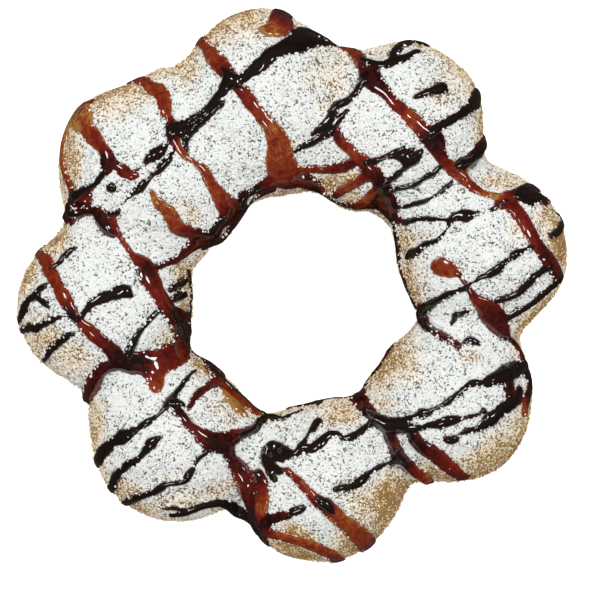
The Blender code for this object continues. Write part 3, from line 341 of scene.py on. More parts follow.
    ((13, -16.6, 1.4), (14, -15.2, .9), (15.6, -12.6, .6), (17.2, -9.8, .8)),
    ((-13.2, 7, 1.4), (-12.2, 7.4, 1)),
    ((-13.6, 9.2, .7), (-12, 10.6, 1.3), (-11.2, 11.8, .7)),
    ((-8.2, 12.6, 1.8), (-8.1, 14, 1.7), (-7.4, 15.2, 1.5), (-5.8, 16, 1.2), (-4.4, 16.4, .9)),
)
# Thin chocolate between thicker strands: (x, y, width).
CHOCOLATE_FILM = (
    ((-3.5, -28.3, 1.6), (-2.5, -28.9, 2), (-1.3, -29.2, 1.6), (-.2, -29.2, 1.1)),
    ((-4, -29.8, 1.4), (-3.3, -30.8, 1.8), (-2.4, -31.4, 1.6), (-1.4, -31.6, 1)),
)
# Where the sugar is thin and the crust shows through: (x, y, reach in x, reach in y, turn
# (degrees), how much is missing).
THIN_SUGAR = (
    # the top and upper left balls
    (-9.5, 43.6, 8.0, 5.0, 0, .42),
    (-17.6, 36.4, 3.2, 4.8, 0, .36),
    (6.0, 35.0, 5.0, 4.2, -30, .34),
    (5.0, 30.0, 1.8, 1.5, 0, .26),
    (.4, 23.8, 1.6, 1.4, 0, .26),
    (-28.0, 32.4, 7.4, 4.0, 25, .36),
    (-37.0, 22.0, 2.4, 7.4, 0, .42),
    # the left ball
    (-39.4, 7.0, 2.4, 4.8, 20, .40),
    (-35.6, 7.4, 1.8, 1.4, 40, .16),
    (-43.4, .6, 2.6, 3.2, 0, .26),
    (-42.6, -5.2, 3.0, 1.6, 20, .22),
    (-41.3, -8.4, 3.2, 2.2, 30, .36),
    (-37.0, -11.8, 4.4, 3.2, -20, .42),
    (-18.6, 2.0, 2.4, 3.4, 0, .42),
    (-18.2, -4.9, 1.3, 2.4, 0, .50),
    (-21.6, -9.1, 2.6, 1.8, 30, .36),
    (-17.0, 12.0, 2.0, 3.4, 30, .30),
    # the lower left ball
    (-32.3, -23.3, 2.6, 5.6, -10, .15),
    (-30.8, -30.3, 2.2, 3.2, 0, .19),
    (-27.6, -34.3, 3.4, 1.8, -15, .36),
    (-18.8, -36.4, 8.0, 2.2, 8, .34),
    (-20.7, -32.2, 4.6, 1.5, 12, .20),
    (-11.6, -34.0, 3.0, 1.6, 15, .28),
    (-15.6, -14.6, 1.8, 2.0, 0, .36),
    (-12.0, -21.6, 4.2, 2.4, -40, .34),
    # the bottom ball
    (7.8, -22.8, 4.8, 2.2, 5, .30),
    (0.0, -25.2, 2.2, 1.6, 0, .20),
    (12.8, -38.8, 5.4, 5.8, 0, .50),
    (17.4, -34.6, 3.2, 4.4, -20, .50),
    (.8, -45.0, 5.8, 2.6, -30, .46),
    (9.0, -43.6, 3.0, 3.0, 0, .48),
    (1.4, -41.9, 3.8, 1.7, -30, .52),
    (-.5, -35.4, 1.6, 1.4, 0, .20),
    # the lower right ball
    (17.5, -13.4, 6.8, 5.0, -35, .42),
    (16.2, -20.6, 3.2, 1.6, 0, .32),
    (30.8, -12.2, 2.8, 1.8, 0, .38),
    (35.2, -18.6, 2.0, 1.2, 20, .24),
    (36.6, -26.6, 4.8, 6.8, -35, .42),
    (29.6, -31.2, 6.8, 3.2, 28, .39),
    (23.4, -31.0, 2.4, 1.1, -40, .38),
    # the right ball
    (21.6, 1.0, 2.6, 5.6, 0, .32),
    (19.6, 8.0, 1.8, 3.2, 0, .34),
    (38.2, 9.0, 1.8, 3.8, 25, .32),
    (43.2, 9.2, 2.6, 5.0, 15, .40),
    (45.8, 6.6, 1.8, 3.4, 0, .46),
    (34.8, 17.0, 3.8, 1.6, -20, .28),
    (28.0, 9.2, 2.6, 1.0, 20, .18),
    (23.0, 8.6, 2.2, 1.6, 20, .18),
    (39.2, .4, 5.0, 2.0, 38, .22),
    (41.8, -5.4, 2.2, 5.6, -35, .38),
    # the upper right ball and the slope down to the hole
    (28.6, 34.4, 5.0, 9.0, -40, .24),
    (33.0, 27.0, 3.4, 6.0, 15, .24),
    (8.4, 17.8, 6.0, 1.8, 12, .56),
    (10.8, 14.8, 2.2, 1.8, 30, .46),
    (-26.4, 25.4, 7.0, 7.0, 0, .10),
    (15.0, 21.6, 2.4, 2.0, 0, .18),
    (22.0, 33.0, 2.0, 1.6, 0, .20),
)
# Crumbs of sugar lying on the sauce: (x, y, reach).
SUGAR_ON_SAUCE = (
    (-36.6, 12.6, 1.6), (-38.2, 11.8, .8), (-29.0, 20.7, .8), (-7.2, -30.8, 1.2), (-6.0, -33, .8),
    (17.6, 10.2, 1.4), (-25.8, -.6, 1.0), (24.4, -8.2, 1.6), (27.2, -9.8, 1.0), (10.2, 35.4, 1.0),
    (-30.6, 9.8, .9), (13.6, 36.9, 1.2), (38.4, -13.8, 1.0), (-20.4, 15.2, .8), (6.4, 25.6, 1.2),
    (-34.6, 13.6, 1.0), (-32.6, 19.4, .7), (-30.3, -16.1, 1.0), (-5.7, -35.0, .7),
)

# ---------------------------------------------------------------- meshes
# Grid points round the ring and across its section.
SAUCE_AROUND = 940
SAUCE_ACROSS = 232
COAT_AROUND = 620
COAT_ACROSS = 132
DOUGH_AROUND = 560
DOUGH_ACROSS = 112
# Where the sheets of sauce and sugar start and end in the section (radians).
SHEET_START = -0.62
SHEET_END = math.pi + 0.62
# The UV map holds a sheet's top up to UV_TOP and its underside from UV_UNDER on.
UV_TOP = 0.94
UV_UNDER = 0.95

# How far the crust lies inside the CAD solid, to leave room for what is on it (mm).
INSET = 0.34
# Changes to the crust fade out below this height, so that its base stays flat (mm).
FLAT_BASE = 1.5
# Where the photo's outline is fuller (above zero) or hollower than the round balls: angle round
# the ring, spread (both degrees), mm.
HOLE_OUTLINE = ((45, 9, -1.3), (154, 5, -.7), (218, 8, .5), (256, 7, .7), (292, 8, .8),
                (301, 5, 1.2), (309, 5, .6))
OUTER_OUTLINE = ((122, 5, 2.3), (210, 5, .9), (265, 6, .8), (348, 5, .5), (335, 6, -.4), (88, 5, -.8))

# Noise as (amount, size) pairs, in mm. Each pair takes the next seed after the one named below.
SAUCE_WOBBLE = ((0.12, 0.9), (0.08, 0.45), (0.10, 2.6))
COVER_PATCHES = ((0.10, 4.2), (0.07, 1.9))
COAT_LUMPS = ((0.10, 2.2), (0.11, 1.0), (0.10, 0.55))
CRUST_RELIEF = ((0.10, 3.0), (0.07, 1.3))
RAGGED_EDGE = ((0.16, 0.8), (0.10, 2.0))
FRUIT_SEED = 11
CHOCOLATE_SEED = 21
FILM_SEED = 23
FRUIT_WAVE_SEED = 31
CHOCOLATE_WAVE_SEED = 32
COVER_SEED = 41
LUMP_SEED = 51
RELIEF_SEED = 61
BROWNING_SEED = 63
RAGGED_SEED = 71
GRAIN_SEED = 101
CLUMP_SEED = 102

# Sauce (mm). Its edge stands SAUCE_LIFT above the crust, and its sheet reaches down to SAUCE_BOTTOM.
SAUCE_LIFT = 0.26
SAUCE_BOTTOM = -0.55
THINNEST_SHEET = 0.1
SHOWN_LEVEL = -0.12
EDGE_SLOPE = 1.3
# The least height of sauce, and how far inside its edge that is reached.
FILM = 0.24
FILM_EDGE = 0.35
# How high a very wide strand stands, and how soon a strand gets there as it widens.
CHOCOLATE_RISE = 0.78
FRUIT_RISE = 0.62
FILM_RISE = 0.16
RISE_GAIN = 1.15
# The share of that height on an upright side, and what level ground adds.
SIDE_SHARE = 0.42
TOP_SHARE = 0.58
TOP_NORMAL = 0.55
# How softly strands join, and how their heights add up where they cross.
BLEND = 0.24
HEIGHT_POWER = 4.0
LARGEST_POWER = 30.0
SMALLEST_TOTAL = 1e-13
MOST_INSIDE = 2.0
INNER_GAIN = 2.0
# The threads painted inside a strand: their spacing, and how much they waver.
PLY_SPACING = 0.62
PLY_WAVER = 4.0
# Strands: the spacing of their points, the least width and reach, and how far they matter.
POINTS_PER_SPAN = 8
STRAND_STEP = 0.45
THINNEST_STRAND = 0.3
THINNEST_REACH = 0.10
NEAR = 3.4
NEAR_RING_RADIUS = 15.0
NEAR_SECTION_RADIUS = 11.0
FAR_OUTSIDE = -9.0
TINY = 1e-9
# Rounds of evening out, and the waviness of the sauce's top.
FRUIT_EVENING = 8
CHOCOLATE_EVENING = 3
WAVINESS = 0.04
WAVE_SIZE = 2.0
WAVE_EDGE = 0.5
# How creases are filled: wide rounds with this stride and fine ones, and the depths filled (mm).
WIDE_STEPS = 18
WIDE_STRIDE = 4
FINE_STEPS = 8
SHALLOWEST_FILL = 0.1
DEEPEST_FILL = 1.3
FILL_EDGE = 0.9
# How much of the red sauce's height lifts chocolate that crosses it, and how softly.
LIFTED_SHARE = 0.75
LIFTED_EVENING = 6
LIFTED_EDGE = 0.3

# Sugar coat (mm): how high it lies, where it is cut away round sauce, and its lowest points.
COAT_LEVEL = -0.24
COAT_PER_COVER = 0.66
SAUCE_CUT = 0.9
CUT_START = -0.06
CUT_END = 0.26
COAT_SHOWN = -0.06
COAT_LOWEST_TOP = -0.30
COAT_BOTTOM = -0.42
MOST_COVER = 1.2
# Grains of sugar: how many, their smallest and largest radius (mm), and how uneven the sizes are.
GRAINS = 24500
GRAIN_SIZE = (0.09, 0.24)
CLUMPS = 7500
CLUMP_SIZE = (0.14, 0.34)
MOSTLY_SMALL = 1.8
# Crust: how far it is sunk, and the pale band round its middle height (mm).
CRUST_SUNK = 0.06
BAND_HEIGHT = 10.0
BAND_SPREAD = 3.2
BAND_PALER = 0.75
BROWN_PATCH = 6.0


def smoothstep(low, high, x):
    t = np.clip((x - low) / (high - low), 0.0, 1.0)
    return t * t * (3.0 - 2.0 * t)


def lattice(cell, seed):
    """A random value from -1 to 1 for each whole-number cell."""
    x, y, z = (cell[..., axis].astype(np.uint64) & np.uint64(0xFFFFFFFF) for axis in range(3))
    mixed = (x * np.uint64(374761393) + y * np.uint64(668265263) + z * np.uint64(2246822519)
             + np.uint64(seed * 3266489917)) & np.uint64(0xFFFFFFFF)
    mixed = ((mixed ^ (mixed >> np.uint64(13))) * np.uint64(1274126177)) & np.uint64(0xFFFFFFFF)
    mixed = mixed ^ (mixed >> np.uint64(16))
    return (mixed & np.uint64(0xFFFF)).astype(float) / 32767.5 - 1.0


def noise(points, size, seed):
    """Smooth random values, from about -1 to 1, that change over this many mm."""
    places = points / size + 1000.0
    cell = np.floor(places).astype(np.int64)
    part = places - cell
    part = part * part * (3.0 - 2.0 * part)
    total = 0.0
    for dx in (0, 1):
        for dy in (0, 1):
            for dz in (0, 1):
                share = (np.where(dx, part[..., 0], 1 - part[..., 0])
                         * np.where(dy, part[..., 1], 1 - part[..., 1])
                         * np.where(dz, part[..., 2], 1 - part[..., 2]))
                total = total + share * lattice(cell + np.array([dx, dy, dz]), seed)
    return total


def layered_noise(points, layers, seed, total=0.0):
    """The total with noise of several amounts and sizes added to it in turn."""
    for number, (amount, size) in enumerate(layers):
        total = total + amount * noise(points, size, seed + number)
    return total


def plan(x, y):
    return x - BOX_MIDDLE[0], y - BOX_MIDDLE[1]


def dough_field(points):
    """Below zero inside the dough."""
    middle_x, middle_y = plan(*RING_MIDDLE)
    x = points[..., 0] - middle_x
    y = points[..., 1] - middle_y
    z = points[..., 2] - BALL_MIDDLE_Z
    total = 0.0
    for angle, distance, half_width, half_length, half_height in BALLS:
        turn = math.radians(angle)
        out = (x * math.cos(turn) + y * math.sin(turn) - distance) / half_width
        along = (y * math.cos(turn) - x * math.sin(turn)) / half_length
        up = z / half_height
        reach = np.sqrt(out ** 2 + along ** 2 + up ** 2)
        total = total + np.exp((1.0 - reach) / JOIN)
    lump_x, lump_y, lump_z = LUMP_LENGTHS
    lumps = np.sin(x / lump_x + z / lump_z) * np.sin(y / lump_y - z / lump_x)
    return -JOIN * np.log(total) + LUMP_DEPTH * lumps


def section_point(theta, phi):
    """The dough's surface, along the ray at phi in the upright section at theta."""
    middle_x, middle_y = plan(*RING_MIDDLE)
    out = np.stack([np.cos(theta), np.sin(theta), np.zeros_like(theta)], axis=-1)
    up = np.array([0.0, 0.0, 1.0])
    start = np.array([middle_x, middle_y, BALL_MIDDLE_Z]) + SECTION_RADIUS * out
    ray = out * np.cos(phi)[..., None] + up * np.sin(phi)[..., None]
    near = np.zeros_like(theta)
    far = np.full_like(theta, SECTION_REACH)
    for _ in range(HALVINGS):
        half = 0.5 * (near + far)
        inside = dough_field(start + ray * half[..., None]) < 0.0
        near = np.where(inside, half, near)
        far = np.where(inside, far, half)
    surface = start + ray * near[..., None]
    surface[..., 2] = np.maximum(surface[..., 2], 0.0)
    return surface


def plan_radius(points):
    middle_x, middle_y = plan(*RING_MIDDLE)
    return np.hypot(points[..., 0] - middle_x, points[..., 1] - middle_y)


def drape(x, y):
    """Angles of the surface point above each place in plan. Past an edge it runs down the side."""
    middle_x, middle_y = plan(*RING_MIDDLE)
    theta = np.arctan2(y - middle_y, x - middle_x)
    radius = np.hypot(x - middle_x, y - middle_y)
    outer = plan_radius(section_point(theta, np.zeros_like(theta)))
    inner = plan_radius(section_point(theta, np.full_like(theta, math.pi)))
    low = np.zeros_like(theta)
    high = np.full_like(theta, math.pi)
    for _ in range(HALVINGS):
        half = 0.5 * (low + high)
        too_far_out = plan_radius(section_point(theta, half)) > radius
        low = np.where(too_far_out, half, low)
        high = np.where(too_far_out, high, half)
    past_outer = np.maximum(radius - outer, 0.0) / (outer - SECTION_RADIUS)
    past_inner = np.maximum(inner - radius, 0.0) / (SECTION_RADIUS - inner)
    phi = low - np.minimum(past_outer, LOWEST_SIDE_ANGLE)
    phi = phi + np.minimum(past_inner, LOWEST_SIDE_ANGLE)
    return theta, phi


def outward(points):
    """The dough's unit normals, from the slope of its field."""
    step = 0.05
    slopes = []
    for axis in range(3):
        shift = np.zeros(3)
        shift[axis] = step
        slopes.append(dough_field(points + shift) - dough_field(points - shift))
    slope = np.stack(slopes, axis=-1)
    return slope / np.linalg.norm(slope, axis=-1, keepdims=True)


def outline_change(theta, phi):
    """How much fuller or hollower the dough is than the CAD's, on the hole's side and outside."""
    change = np.zeros_like(theta)
    for places, side in ((HOLE_OUTLINE, -1.0), (OUTER_OUTLINE, 1.0)):
        facing = smoothstep(0.25, 0.95, side * np.cos(phi))
        for angle, spread, amount in places:
            away = np.degrees(theta) - angle
            away = (away + 180.0) % 360.0 - 180.0
            change = change + amount * facing * np.exp(-(away / spread) ** 2)
    return change


def crust(theta, phi):
    """The crust's surface and unit normals. Its base stays flat on the floor."""
    points = section_point(theta, phi)
    normals = outward(points)
    shift = normals * (outline_change(theta, phi) - INSET)[..., None]
    shift[..., 2] *= smoothstep(0.0, FLAT_BASE, points[..., 2])
    points = points + shift
    points[..., 2] = np.maximum(points[..., 2], 0.0)
    return points, normals


class Grid:
    """Points all round the ring (first index) and across its section (second index)."""

    def __init__(self, around, across, start, end):
        self.around = around
        self.across = across
        self.start = start
        self.phi_step = (end - start) / (across - 1)
        self.theta_step = 2 * math.pi / around
        theta = np.arange(around) * self.theta_step
        phi = start + np.arange(across) * self.phi_step
        self.theta, self.phi = np.meshgrid(theta, phi, indexing="ij")
        self.points, self.normals = crust(self.theta, self.phi)


def smooth_path(knots):
    """Closely spaced points on a Catmull-Rom curve through the knots."""
    knots = np.array(knots, float)
    ends = np.vstack([2 * knots[0] - knots[1], knots, 2 * knots[-1] - knots[-2]])
    t = np.linspace(0.0, 1.0, POINTS_PER_SPAN, endpoint=False)[:, None]
    spans = []
    for before, start, end, after in zip(ends, ends[1:], ends[2:], ends[3:]):
        spans.append(0.5 * (2 * start + (end - before) * t
                            + (2 * before - 5 * start + 4 * end - after) * t ** 2
                            + (3 * start - before - 3 * end + after) * t ** 3))
    curve = np.vstack([*spans, knots[-1:]])
    steps = np.hypot(np.diff(curve[:, 0]), np.diff(curve[:, 1]))
    length = np.concatenate([[0.0], np.cumsum(steps)])
    places = np.linspace(0.0, length[-1], max(3, round(length[-1] / STRAND_STEP) + 1))
    return np.stack([np.interp(places, length, column) for column in curve.T], axis=-1)


def drape_strands(strands):
    """Each strand as points on the dough: angles, places, half widths and tones."""
    draped = []
    for knots in strands:
        path = smooth_path(knots)
        theta, phi = drape(*plan(path[:, 0], path[:, 1]))
        tone = path[:, 3] if path.shape[1] > 3 else np.ones(len(path))
        draped.append((np.unwrap(theta), phi, crust(theta, phi)[0],
                       0.5 * np.maximum(path[:, 2], THINNEST_STRAND), np.clip(tone, 0.0, 1.0)))
    return draped


def strand_window(grid, theta, phi):
    """Index ranges of the grid that hold everything near the strand."""
    near_theta = NEAR / NEAR_RING_RADIUS
    near_phi = NEAR / NEAR_SECTION_RADIUS
    first = math.floor((theta.min() - near_theta) / grid.theta_step)
    last = math.ceil((theta.max() + near_theta) / grid.theta_step)
    low = max(0, math.floor((phi.min() - near_phi - grid.start) / grid.phi_step))
    high = min(grid.across, math.ceil((phi.max() + near_phi - grid.start) / grid.phi_step) + 1)
    return np.arange(first, last + 1) % grid.around, np.arange(low, high)


def soften(values, times, stride=1):
    """The values with their sharpest changes evened out, as surface tension does to sauce."""
    for _ in range(times):
        values = 0.5 * values + 0.25 * (np.roll(values, stride, axis=0)
                                        + np.roll(values, -stride, axis=0))
        padded = np.pad(values, ((0, 0), (stride, stride)), mode="edge")
        values = 0.5 * values + 0.25 * (padded[:, :-2 * stride] + padded[:, 2 * stride:])
    return values


def strand_level(points, uneven, strand, full_rise):
    """Level, height and tone of one strand at the points, and how far they are from its middle."""
    _, _, places, half, tone = strand
    best = np.full(uneven.shape, FAR_OUTSIDE)
    best_height = np.zeros(uneven.shape)
    best_tone = np.zeros(uneven.shape)
    best_across = np.zeros(uneven.shape)
    for start, end, half_0, half_1, tone_0, tone_1 in zip(
            places, places[1:], half, half[1:], tone, tone[1:]):
        line = end - start
        length = float(line @ line) + TINY
        away = points - start
        along = np.clip((away @ line) / length, 0.0, 1.0)
        away = away - along[..., None] * line
        distance = np.linalg.norm(away, axis=-1)
        reach = np.maximum(half_0 + (half_1 - half_0) * along + uneven, THINNEST_REACH)
        level = reach - distance
        rise = full_rise * (1.0 - np.exp(-RISE_GAIN * reach / full_rise))
        height = rise * np.sqrt(np.clip(1.0 - (distance / reach) ** 2, 0.0, 1.0))
        best_height = np.maximum(best_height, height)
        side = np.sign(away[..., 0] * line[1] - away[..., 1] * line[0])
        closer = level > best
        best = np.where(closer, level, best)
        best_tone = np.where(closer, tone_0 + (tone_1 - tone_0) * along, best_tone)
        best_across = np.where(closer, side * distance, best_across)
    return best, best_height, best_tone, best_across


def sauce_level(grid, draped, seed, full_rise):
    """For each grid point: how far it is inside the sauce (mm; below zero is outside), how high the
    sauce stands there, its tone, and the pattern that its separate threads leave."""
    wobble = layered_noise(grid.points, SAUCE_WOBBLE, seed)
    total, heights, tones, threads = (np.zeros(grid.theta.shape) for _ in range(4))
    weights = np.full(grid.theta.shape, TINY)
    for strand in draped:
        box = np.ix_(*strand_window(grid, strand[0], strand[1]))
        uneven = wobble[box]
        best, height, tone, across = strand_level(grid.points[box], uneven, strand, full_rise)
        share = np.exp(np.clip(best / BLEND, -LARGEST_POWER, LARGEST_POWER))
        total[box] += share
        heights[box] += height ** HEIGHT_POWER
        strong = share * np.exp(np.clip(best, -MOST_INSIDE, MOST_INSIDE) * INNER_GAIN)
        tones[box] += strong * tone
        threads[box] += strong * np.cos(2 * math.pi * across / PLY_SPACING + PLY_WAVER * uneven)
        weights[box] += strong
    level = BLEND * np.log(np.maximum(total, SMALLEST_TOTAL))
    inside = np.clip(level / FILM_EDGE, 0.0, 1.0)
    film = FILM * np.sqrt(1.0 - (1.0 - inside) ** 2)
    height = (heights + film ** HEIGHT_POWER) ** (1.0 / HEIGHT_POWER)
    on_side = SIDE_SHARE + TOP_SHARE * smoothstep(0.0, TOP_NORMAL, grid.normals[..., 2])
    return level, height * on_side, tones / weights, threads / weights


def evened(vectors, wide_steps):
    """The vectors evened out across creases."""
    return np.stack([soften(soften(vectors[..., axis], wide_steps, WIDE_STRIDE), FINE_STEPS)
                     for axis in range(3)], axis=-1)


def level_creases(grid):
    """How deep each point lies in a crease. The grid's normals are evened out across creases."""
    depth = np.sum((evened(grid.points, WIDE_STEPS) - grid.points) * grid.normals, axis=-1)
    normals = evened(grid.normals, WIDE_STEPS // 3)
    grid.normals = normals / np.linalg.norm(normals, axis=-1, keepdims=True)
    return np.clip(depth - SHALLOWEST_FILL, 0.0, DEEPEST_FILL)


def sauce_rise(grid, level, height, evening, seed):
    """The sauce's height with a soft waviness, falling away outside its edge."""
    waves = WAVINESS * noise(grid.points, WAVE_SIZE, seed) * smoothstep(0.0, WAVE_EDGE, level)
    return np.where(level > 0.0, soften(height, evening) + waves, EDGE_SLOPE * level)


def new_mesh(name, points, faces, material, loop_uv, values):
    """A mesh object from points (mm), faces of one size, UVs for each corner, and point values."""
    mesh = bpy.data.meshes.new(name)
    mesh.vertices.add(len(points))
    mesh.vertices.foreach_set("co", (points * MM).astype(np.float32).ravel())
    mesh.loops.add(faces.size)
    mesh.loops.foreach_set("vertex_index", faces.astype(np.int32).ravel())
    mesh.polygons.add(len(faces))
    mesh.polygons.foreach_set("loop_start", np.arange(0, faces.size, faces.shape[1], dtype=np.int32))
    mesh.update(calc_edges=True)
    mesh.polygons.foreach_set("use_smooth", np.ones(len(faces), bool))
    layer = mesh.uv_layers.new(name="OFBake")
    layer.data.foreach_set("uv", loop_uv.astype(np.float32).ravel())
    for key, value in values.items():
        attribute = mesh.attributes.new(key, "FLOAT", "POINT")
        attribute.data.foreach_set("value", value.astype(np.float32))
    mesh.materials.append(material)
    piece = bpy.data.objects.new(name, mesh)
    bpy.context.scene.collection.objects.link(piece)
    return piece


def join_diagonals(keep):
    """Fills cells so that no two kept cells meet only at a corner."""
    for _ in range(3):
        east = np.roll(keep, -1, axis=0)
        north = np.zeros_like(keep)
        north[:, :-1] = keep[:, 1:]
        north_east = np.roll(north, -1, axis=0)
        fill = (keep & north_east & ~east & ~north)
        keep = keep | np.roll(fill, 1, axis=0)
        east = np.roll(keep, -1, axis=0)
        north = np.zeros_like(keep)
        north[:, :-1] = keep[:, 1:]
        north_east = np.roll(north, -1, axis=0)
        fill = (east & north & ~keep & ~north_east)
        keep = keep | fill
    return keep


def sheet(name, grid, top, bottom, shown, material, values):
    """A closed sheet over the grid's shown points, from height bottom to height top above the dough."""
    keep = shown | np.roll(shown, -1, axis=0)
    keep = keep[:, :-1] | keep[:, 1:]
    keep = join_diagonals(keep)
    i, j = np.nonzero(keep)
    i_next = (i + 1) % grid.around
    index = np.arange(grid.theta.size).reshape(grid.theta.shape)
    corners = np.stack([index[i, j], index[i_next, j], index[i_next, j + 1], index[i, j + 1]], 1)
    used, renumbered = np.unique(corners, return_inverse=True)
    corners = renumbered.reshape(corners.shape)
    count = len(used)
    u = np.stack([i, i + 1, i + 1, i], 1) / grid.around
    v = np.stack([j, j, j + 1, j + 1], 1) / (grid.across - 1)

    walls = []
    wall_u = []
    padded = np.zeros((grid.around, grid.across + 1), bool)
    padded[:, 1:-1] = keep
    neighbours = (padded[i, j], padded[i_next, j + 1],
                  padded[i, j + 2], padded[(i - 1) % grid.around, j + 1])
    for edge, present in enumerate(neighbours):
        a = corners[~present, edge]
        b = corners[~present, (edge + 1) % 4]
        walls.append(np.stack([b, a, a + count, b + count], 1))
        wall_u.append(np.repeat(u[~present, edge][:, None], 4, axis=1))
    walls = np.vstack(walls)
    wall_u = np.vstack(wall_u)
    faces = np.vstack([corners, corners[:, ::-1] + count, walls])
    top_uv = np.stack([u, v * UV_TOP], -1)
    under_uv = np.stack([u[:, ::-1], UV_UNDER + v[:, ::-1] * (1 - UV_UNDER)], -1)
    wall_uv = np.stack([wall_u, np.full_like(wall_u, UV_UNDER)], -1)
    loop_uv = np.vstack([top_uv, under_uv, wall_uv])

    base = grid.points.reshape(-1, 3)[used]
    normal = grid.normals.reshape(-1, 3)[used]
    upper = base + normal * top.ravel()[used][:, None]
    lower = base + normal * bottom.ravel()[used][:, None]
    doubled = {key: np.tile(value.ravel()[used], 2) for key, value in values.items()}
    return new_mesh(name, np.vstack([upper, lower]), faces, material, loop_uv, doubled)


# ---------------------------------------------------------------- materials
def srgb(red, green, blue):
    """A linear colour from 0-255 screen values."""
    linear = [((c / 255 + 0.055) / 1.055) ** 2.4 if c > 10 else c / 255 / 12.92
              for c in (red, green, blue)]
    return (*linear, 1.0)


class Nodes:
    """Short ways to add shader nodes to a new material."""

    def __init__(self, name):
        self.material = bpy.data.materials.new(name)
        self.material.use_nodes = True
        self.tree = self.material.node_tree
        self.shader = self.tree.nodes["Principled BSDF"]
        self.place = self.add("ShaderNodeTexCoord").outputs["Object"]

    def add(self, kind, **settings):
        node = self.tree.nodes.new(kind)
        for key, value in settings.items():
            setattr(node, key, value)
        return node

    def link(self, source, target):
        self.tree.links.new(source, target)

    def value_of(self, name):
        return self.add("ShaderNodeAttribute", attribute_name=name).outputs["Fac"]

    def noise(self, size_mm, detail=2.0, roughness=0.5, distortion=0.0):
        node = self.add("ShaderNodeTexNoise")
        self.link(self.place, node.inputs["Vector"])
        node.inputs["Scale"].default_value = 1.0 / (size_mm * MM)
        node.inputs["Detail"].default_value = detail
        node.inputs["Roughness"].default_value = roughness
        node.inputs["Distortion"].default_value = distortion
        return node.outputs["Fac"]

    def math(self, operation, a, b):
        node = self.add("ShaderNodeMath", operation=operation)
        for socket, value in zip(node.inputs, (a, b)):
            if isinstance(value, (int, float)):
                socket.default_value = value
            else:
                self.link(value, socket)
        return node.outputs[0]

    def ramp(self, fac, stops):
        node = self.add("ShaderNodeValToRGB")
        self.link(fac, node.inputs["Fac"])
        elements = node.color_ramp.elements
        while len(elements) < len(stops):
            elements.new(0.5)
        for element, (position, colour) in zip(elements, stops):
            element.position = position
            element.color = colour
        return node.outputs["Color"]

    def step(self, fac, low, high):
        node = self.add("ShaderNodeMapRange", interpolation_type="SMOOTHSTEP")
        self.link(fac, node.inputs["Value"])
        node.inputs["From Min"].default_value = low
        node.inputs["From Max"].default_value = high
        return node.outputs["Result"]

    def mix(self, fac, a, b):
        node = self.add("ShaderNodeMix", data_type="RGBA")
        self.link(fac, node.inputs["Factor"])
        for socket, value in ((node.inputs[6], a), (node.inputs[7], b)):
            if isinstance(value, tuple):
                socket.default_value = value
            else:
                self.link(value, socket)
        return node.outputs[2]

    def bump(self, height, distance_mm, strength=1.0, under=None):
        node = self.add("ShaderNodeBump")
        node.inputs["Distance"].default_value = distance_mm * MM
        node.inputs["Strength"].default_value = strength
        self.link(height, node.inputs["Height"])
        if under is not None:
            self.link(under, node.inputs["Normal"])
        return node.outputs["Normal"]

    def surface(self, colour, normal, settings):
        """The finished material, with this colour, these normals and the shader's other settings."""
        self.link(colour, self.shader.inputs["Base Color"])
        self.link(normal, self.shader.inputs["Normal"])
        for name, value in settings.items():
            self.shader.inputs[name].default_value = value
        return self.material


SUGAR_WHITE = srgb(242, 244, 241)
CRUST_GOLD = srgb(200, 160, 96)
CRUST_BROWN = srgb(162, 118, 62)
CRUST_PALE = srgb(218, 186, 128)


def powder_mask(nodes, cover):
    """1 on the white powder and 0 in the pits between it, which are few where it lies thick."""
    pits = nodes.noise(0.42, detail=2.0, roughness=0.62, distortion=0.3)
    patches = nodes.noise(2.6, detail=2.0)
    threshold = nodes.math("SUBTRACT", nodes.math("MULTIPLY", patches, 0.28),
                           nodes.math("ADD", nodes.math("MULTIPLY", cover, 0.20), 0.076))
    return nodes.step(nodes.math("SUBTRACT", pits, threshold), 0.515, 0.575)


def sugar_material():
    nodes = Nodes("sugar")
    cover = nodes.value_of("cover")
    depth = powder_mask(nodes, cover)
    # The pits are partly painted shade. Where the sugar lies thick they are grey, standing for the
    # shadow in the holes between its clumps. Where it lies thin they are the golden crust showing
    # through.
    crust_and_pit_shade = nodes.ramp(cover, ((0.22, srgb(168, 130, 60)), (0.50, srgb(148, 116, 68)),
                                    (0.74, srgb(122, 107, 82)), (0.94, srgb(96, 92, 84))))
    white = nodes.ramp(cover, ((0.12, srgb(251, 228, 184)), (0.40, srgb(254, 240, 216)),
                               (0.64, srgb(251, 246, 237)), (0.82, SUGAR_WHITE)))
    colour = nodes.mix(depth, crust_and_pit_shade, white)
    grain = nodes.bump(nodes.noise(0.22, detail=2.0, roughness=0.7), 0.10, 0.6)
    sunk = nodes.bump(depth, 0.15, 0.6, under=grain)
    return nodes.surface(colour, sunk, {"Roughness": 0.85, "Specular IOR Level": 0.3})


def grain_material():
    nodes = Nodes("sugar_grain")
    colour = nodes.ramp(nodes.value_of("cover"), (
        (0.12, srgb(249, 228, 186)), (0.40, srgb(252, 238, 212)), (0.64, srgb(251, 247, 238)),
        (0.82, srgb(246, 248, 246))))
    uneven = nodes.bump(nodes.noise(0.12, detail=1.0), 0.03, 0.5)
    return nodes.surface(colour, uneven, {"Roughness": 0.7, "Specular IOR Level": 0.35})


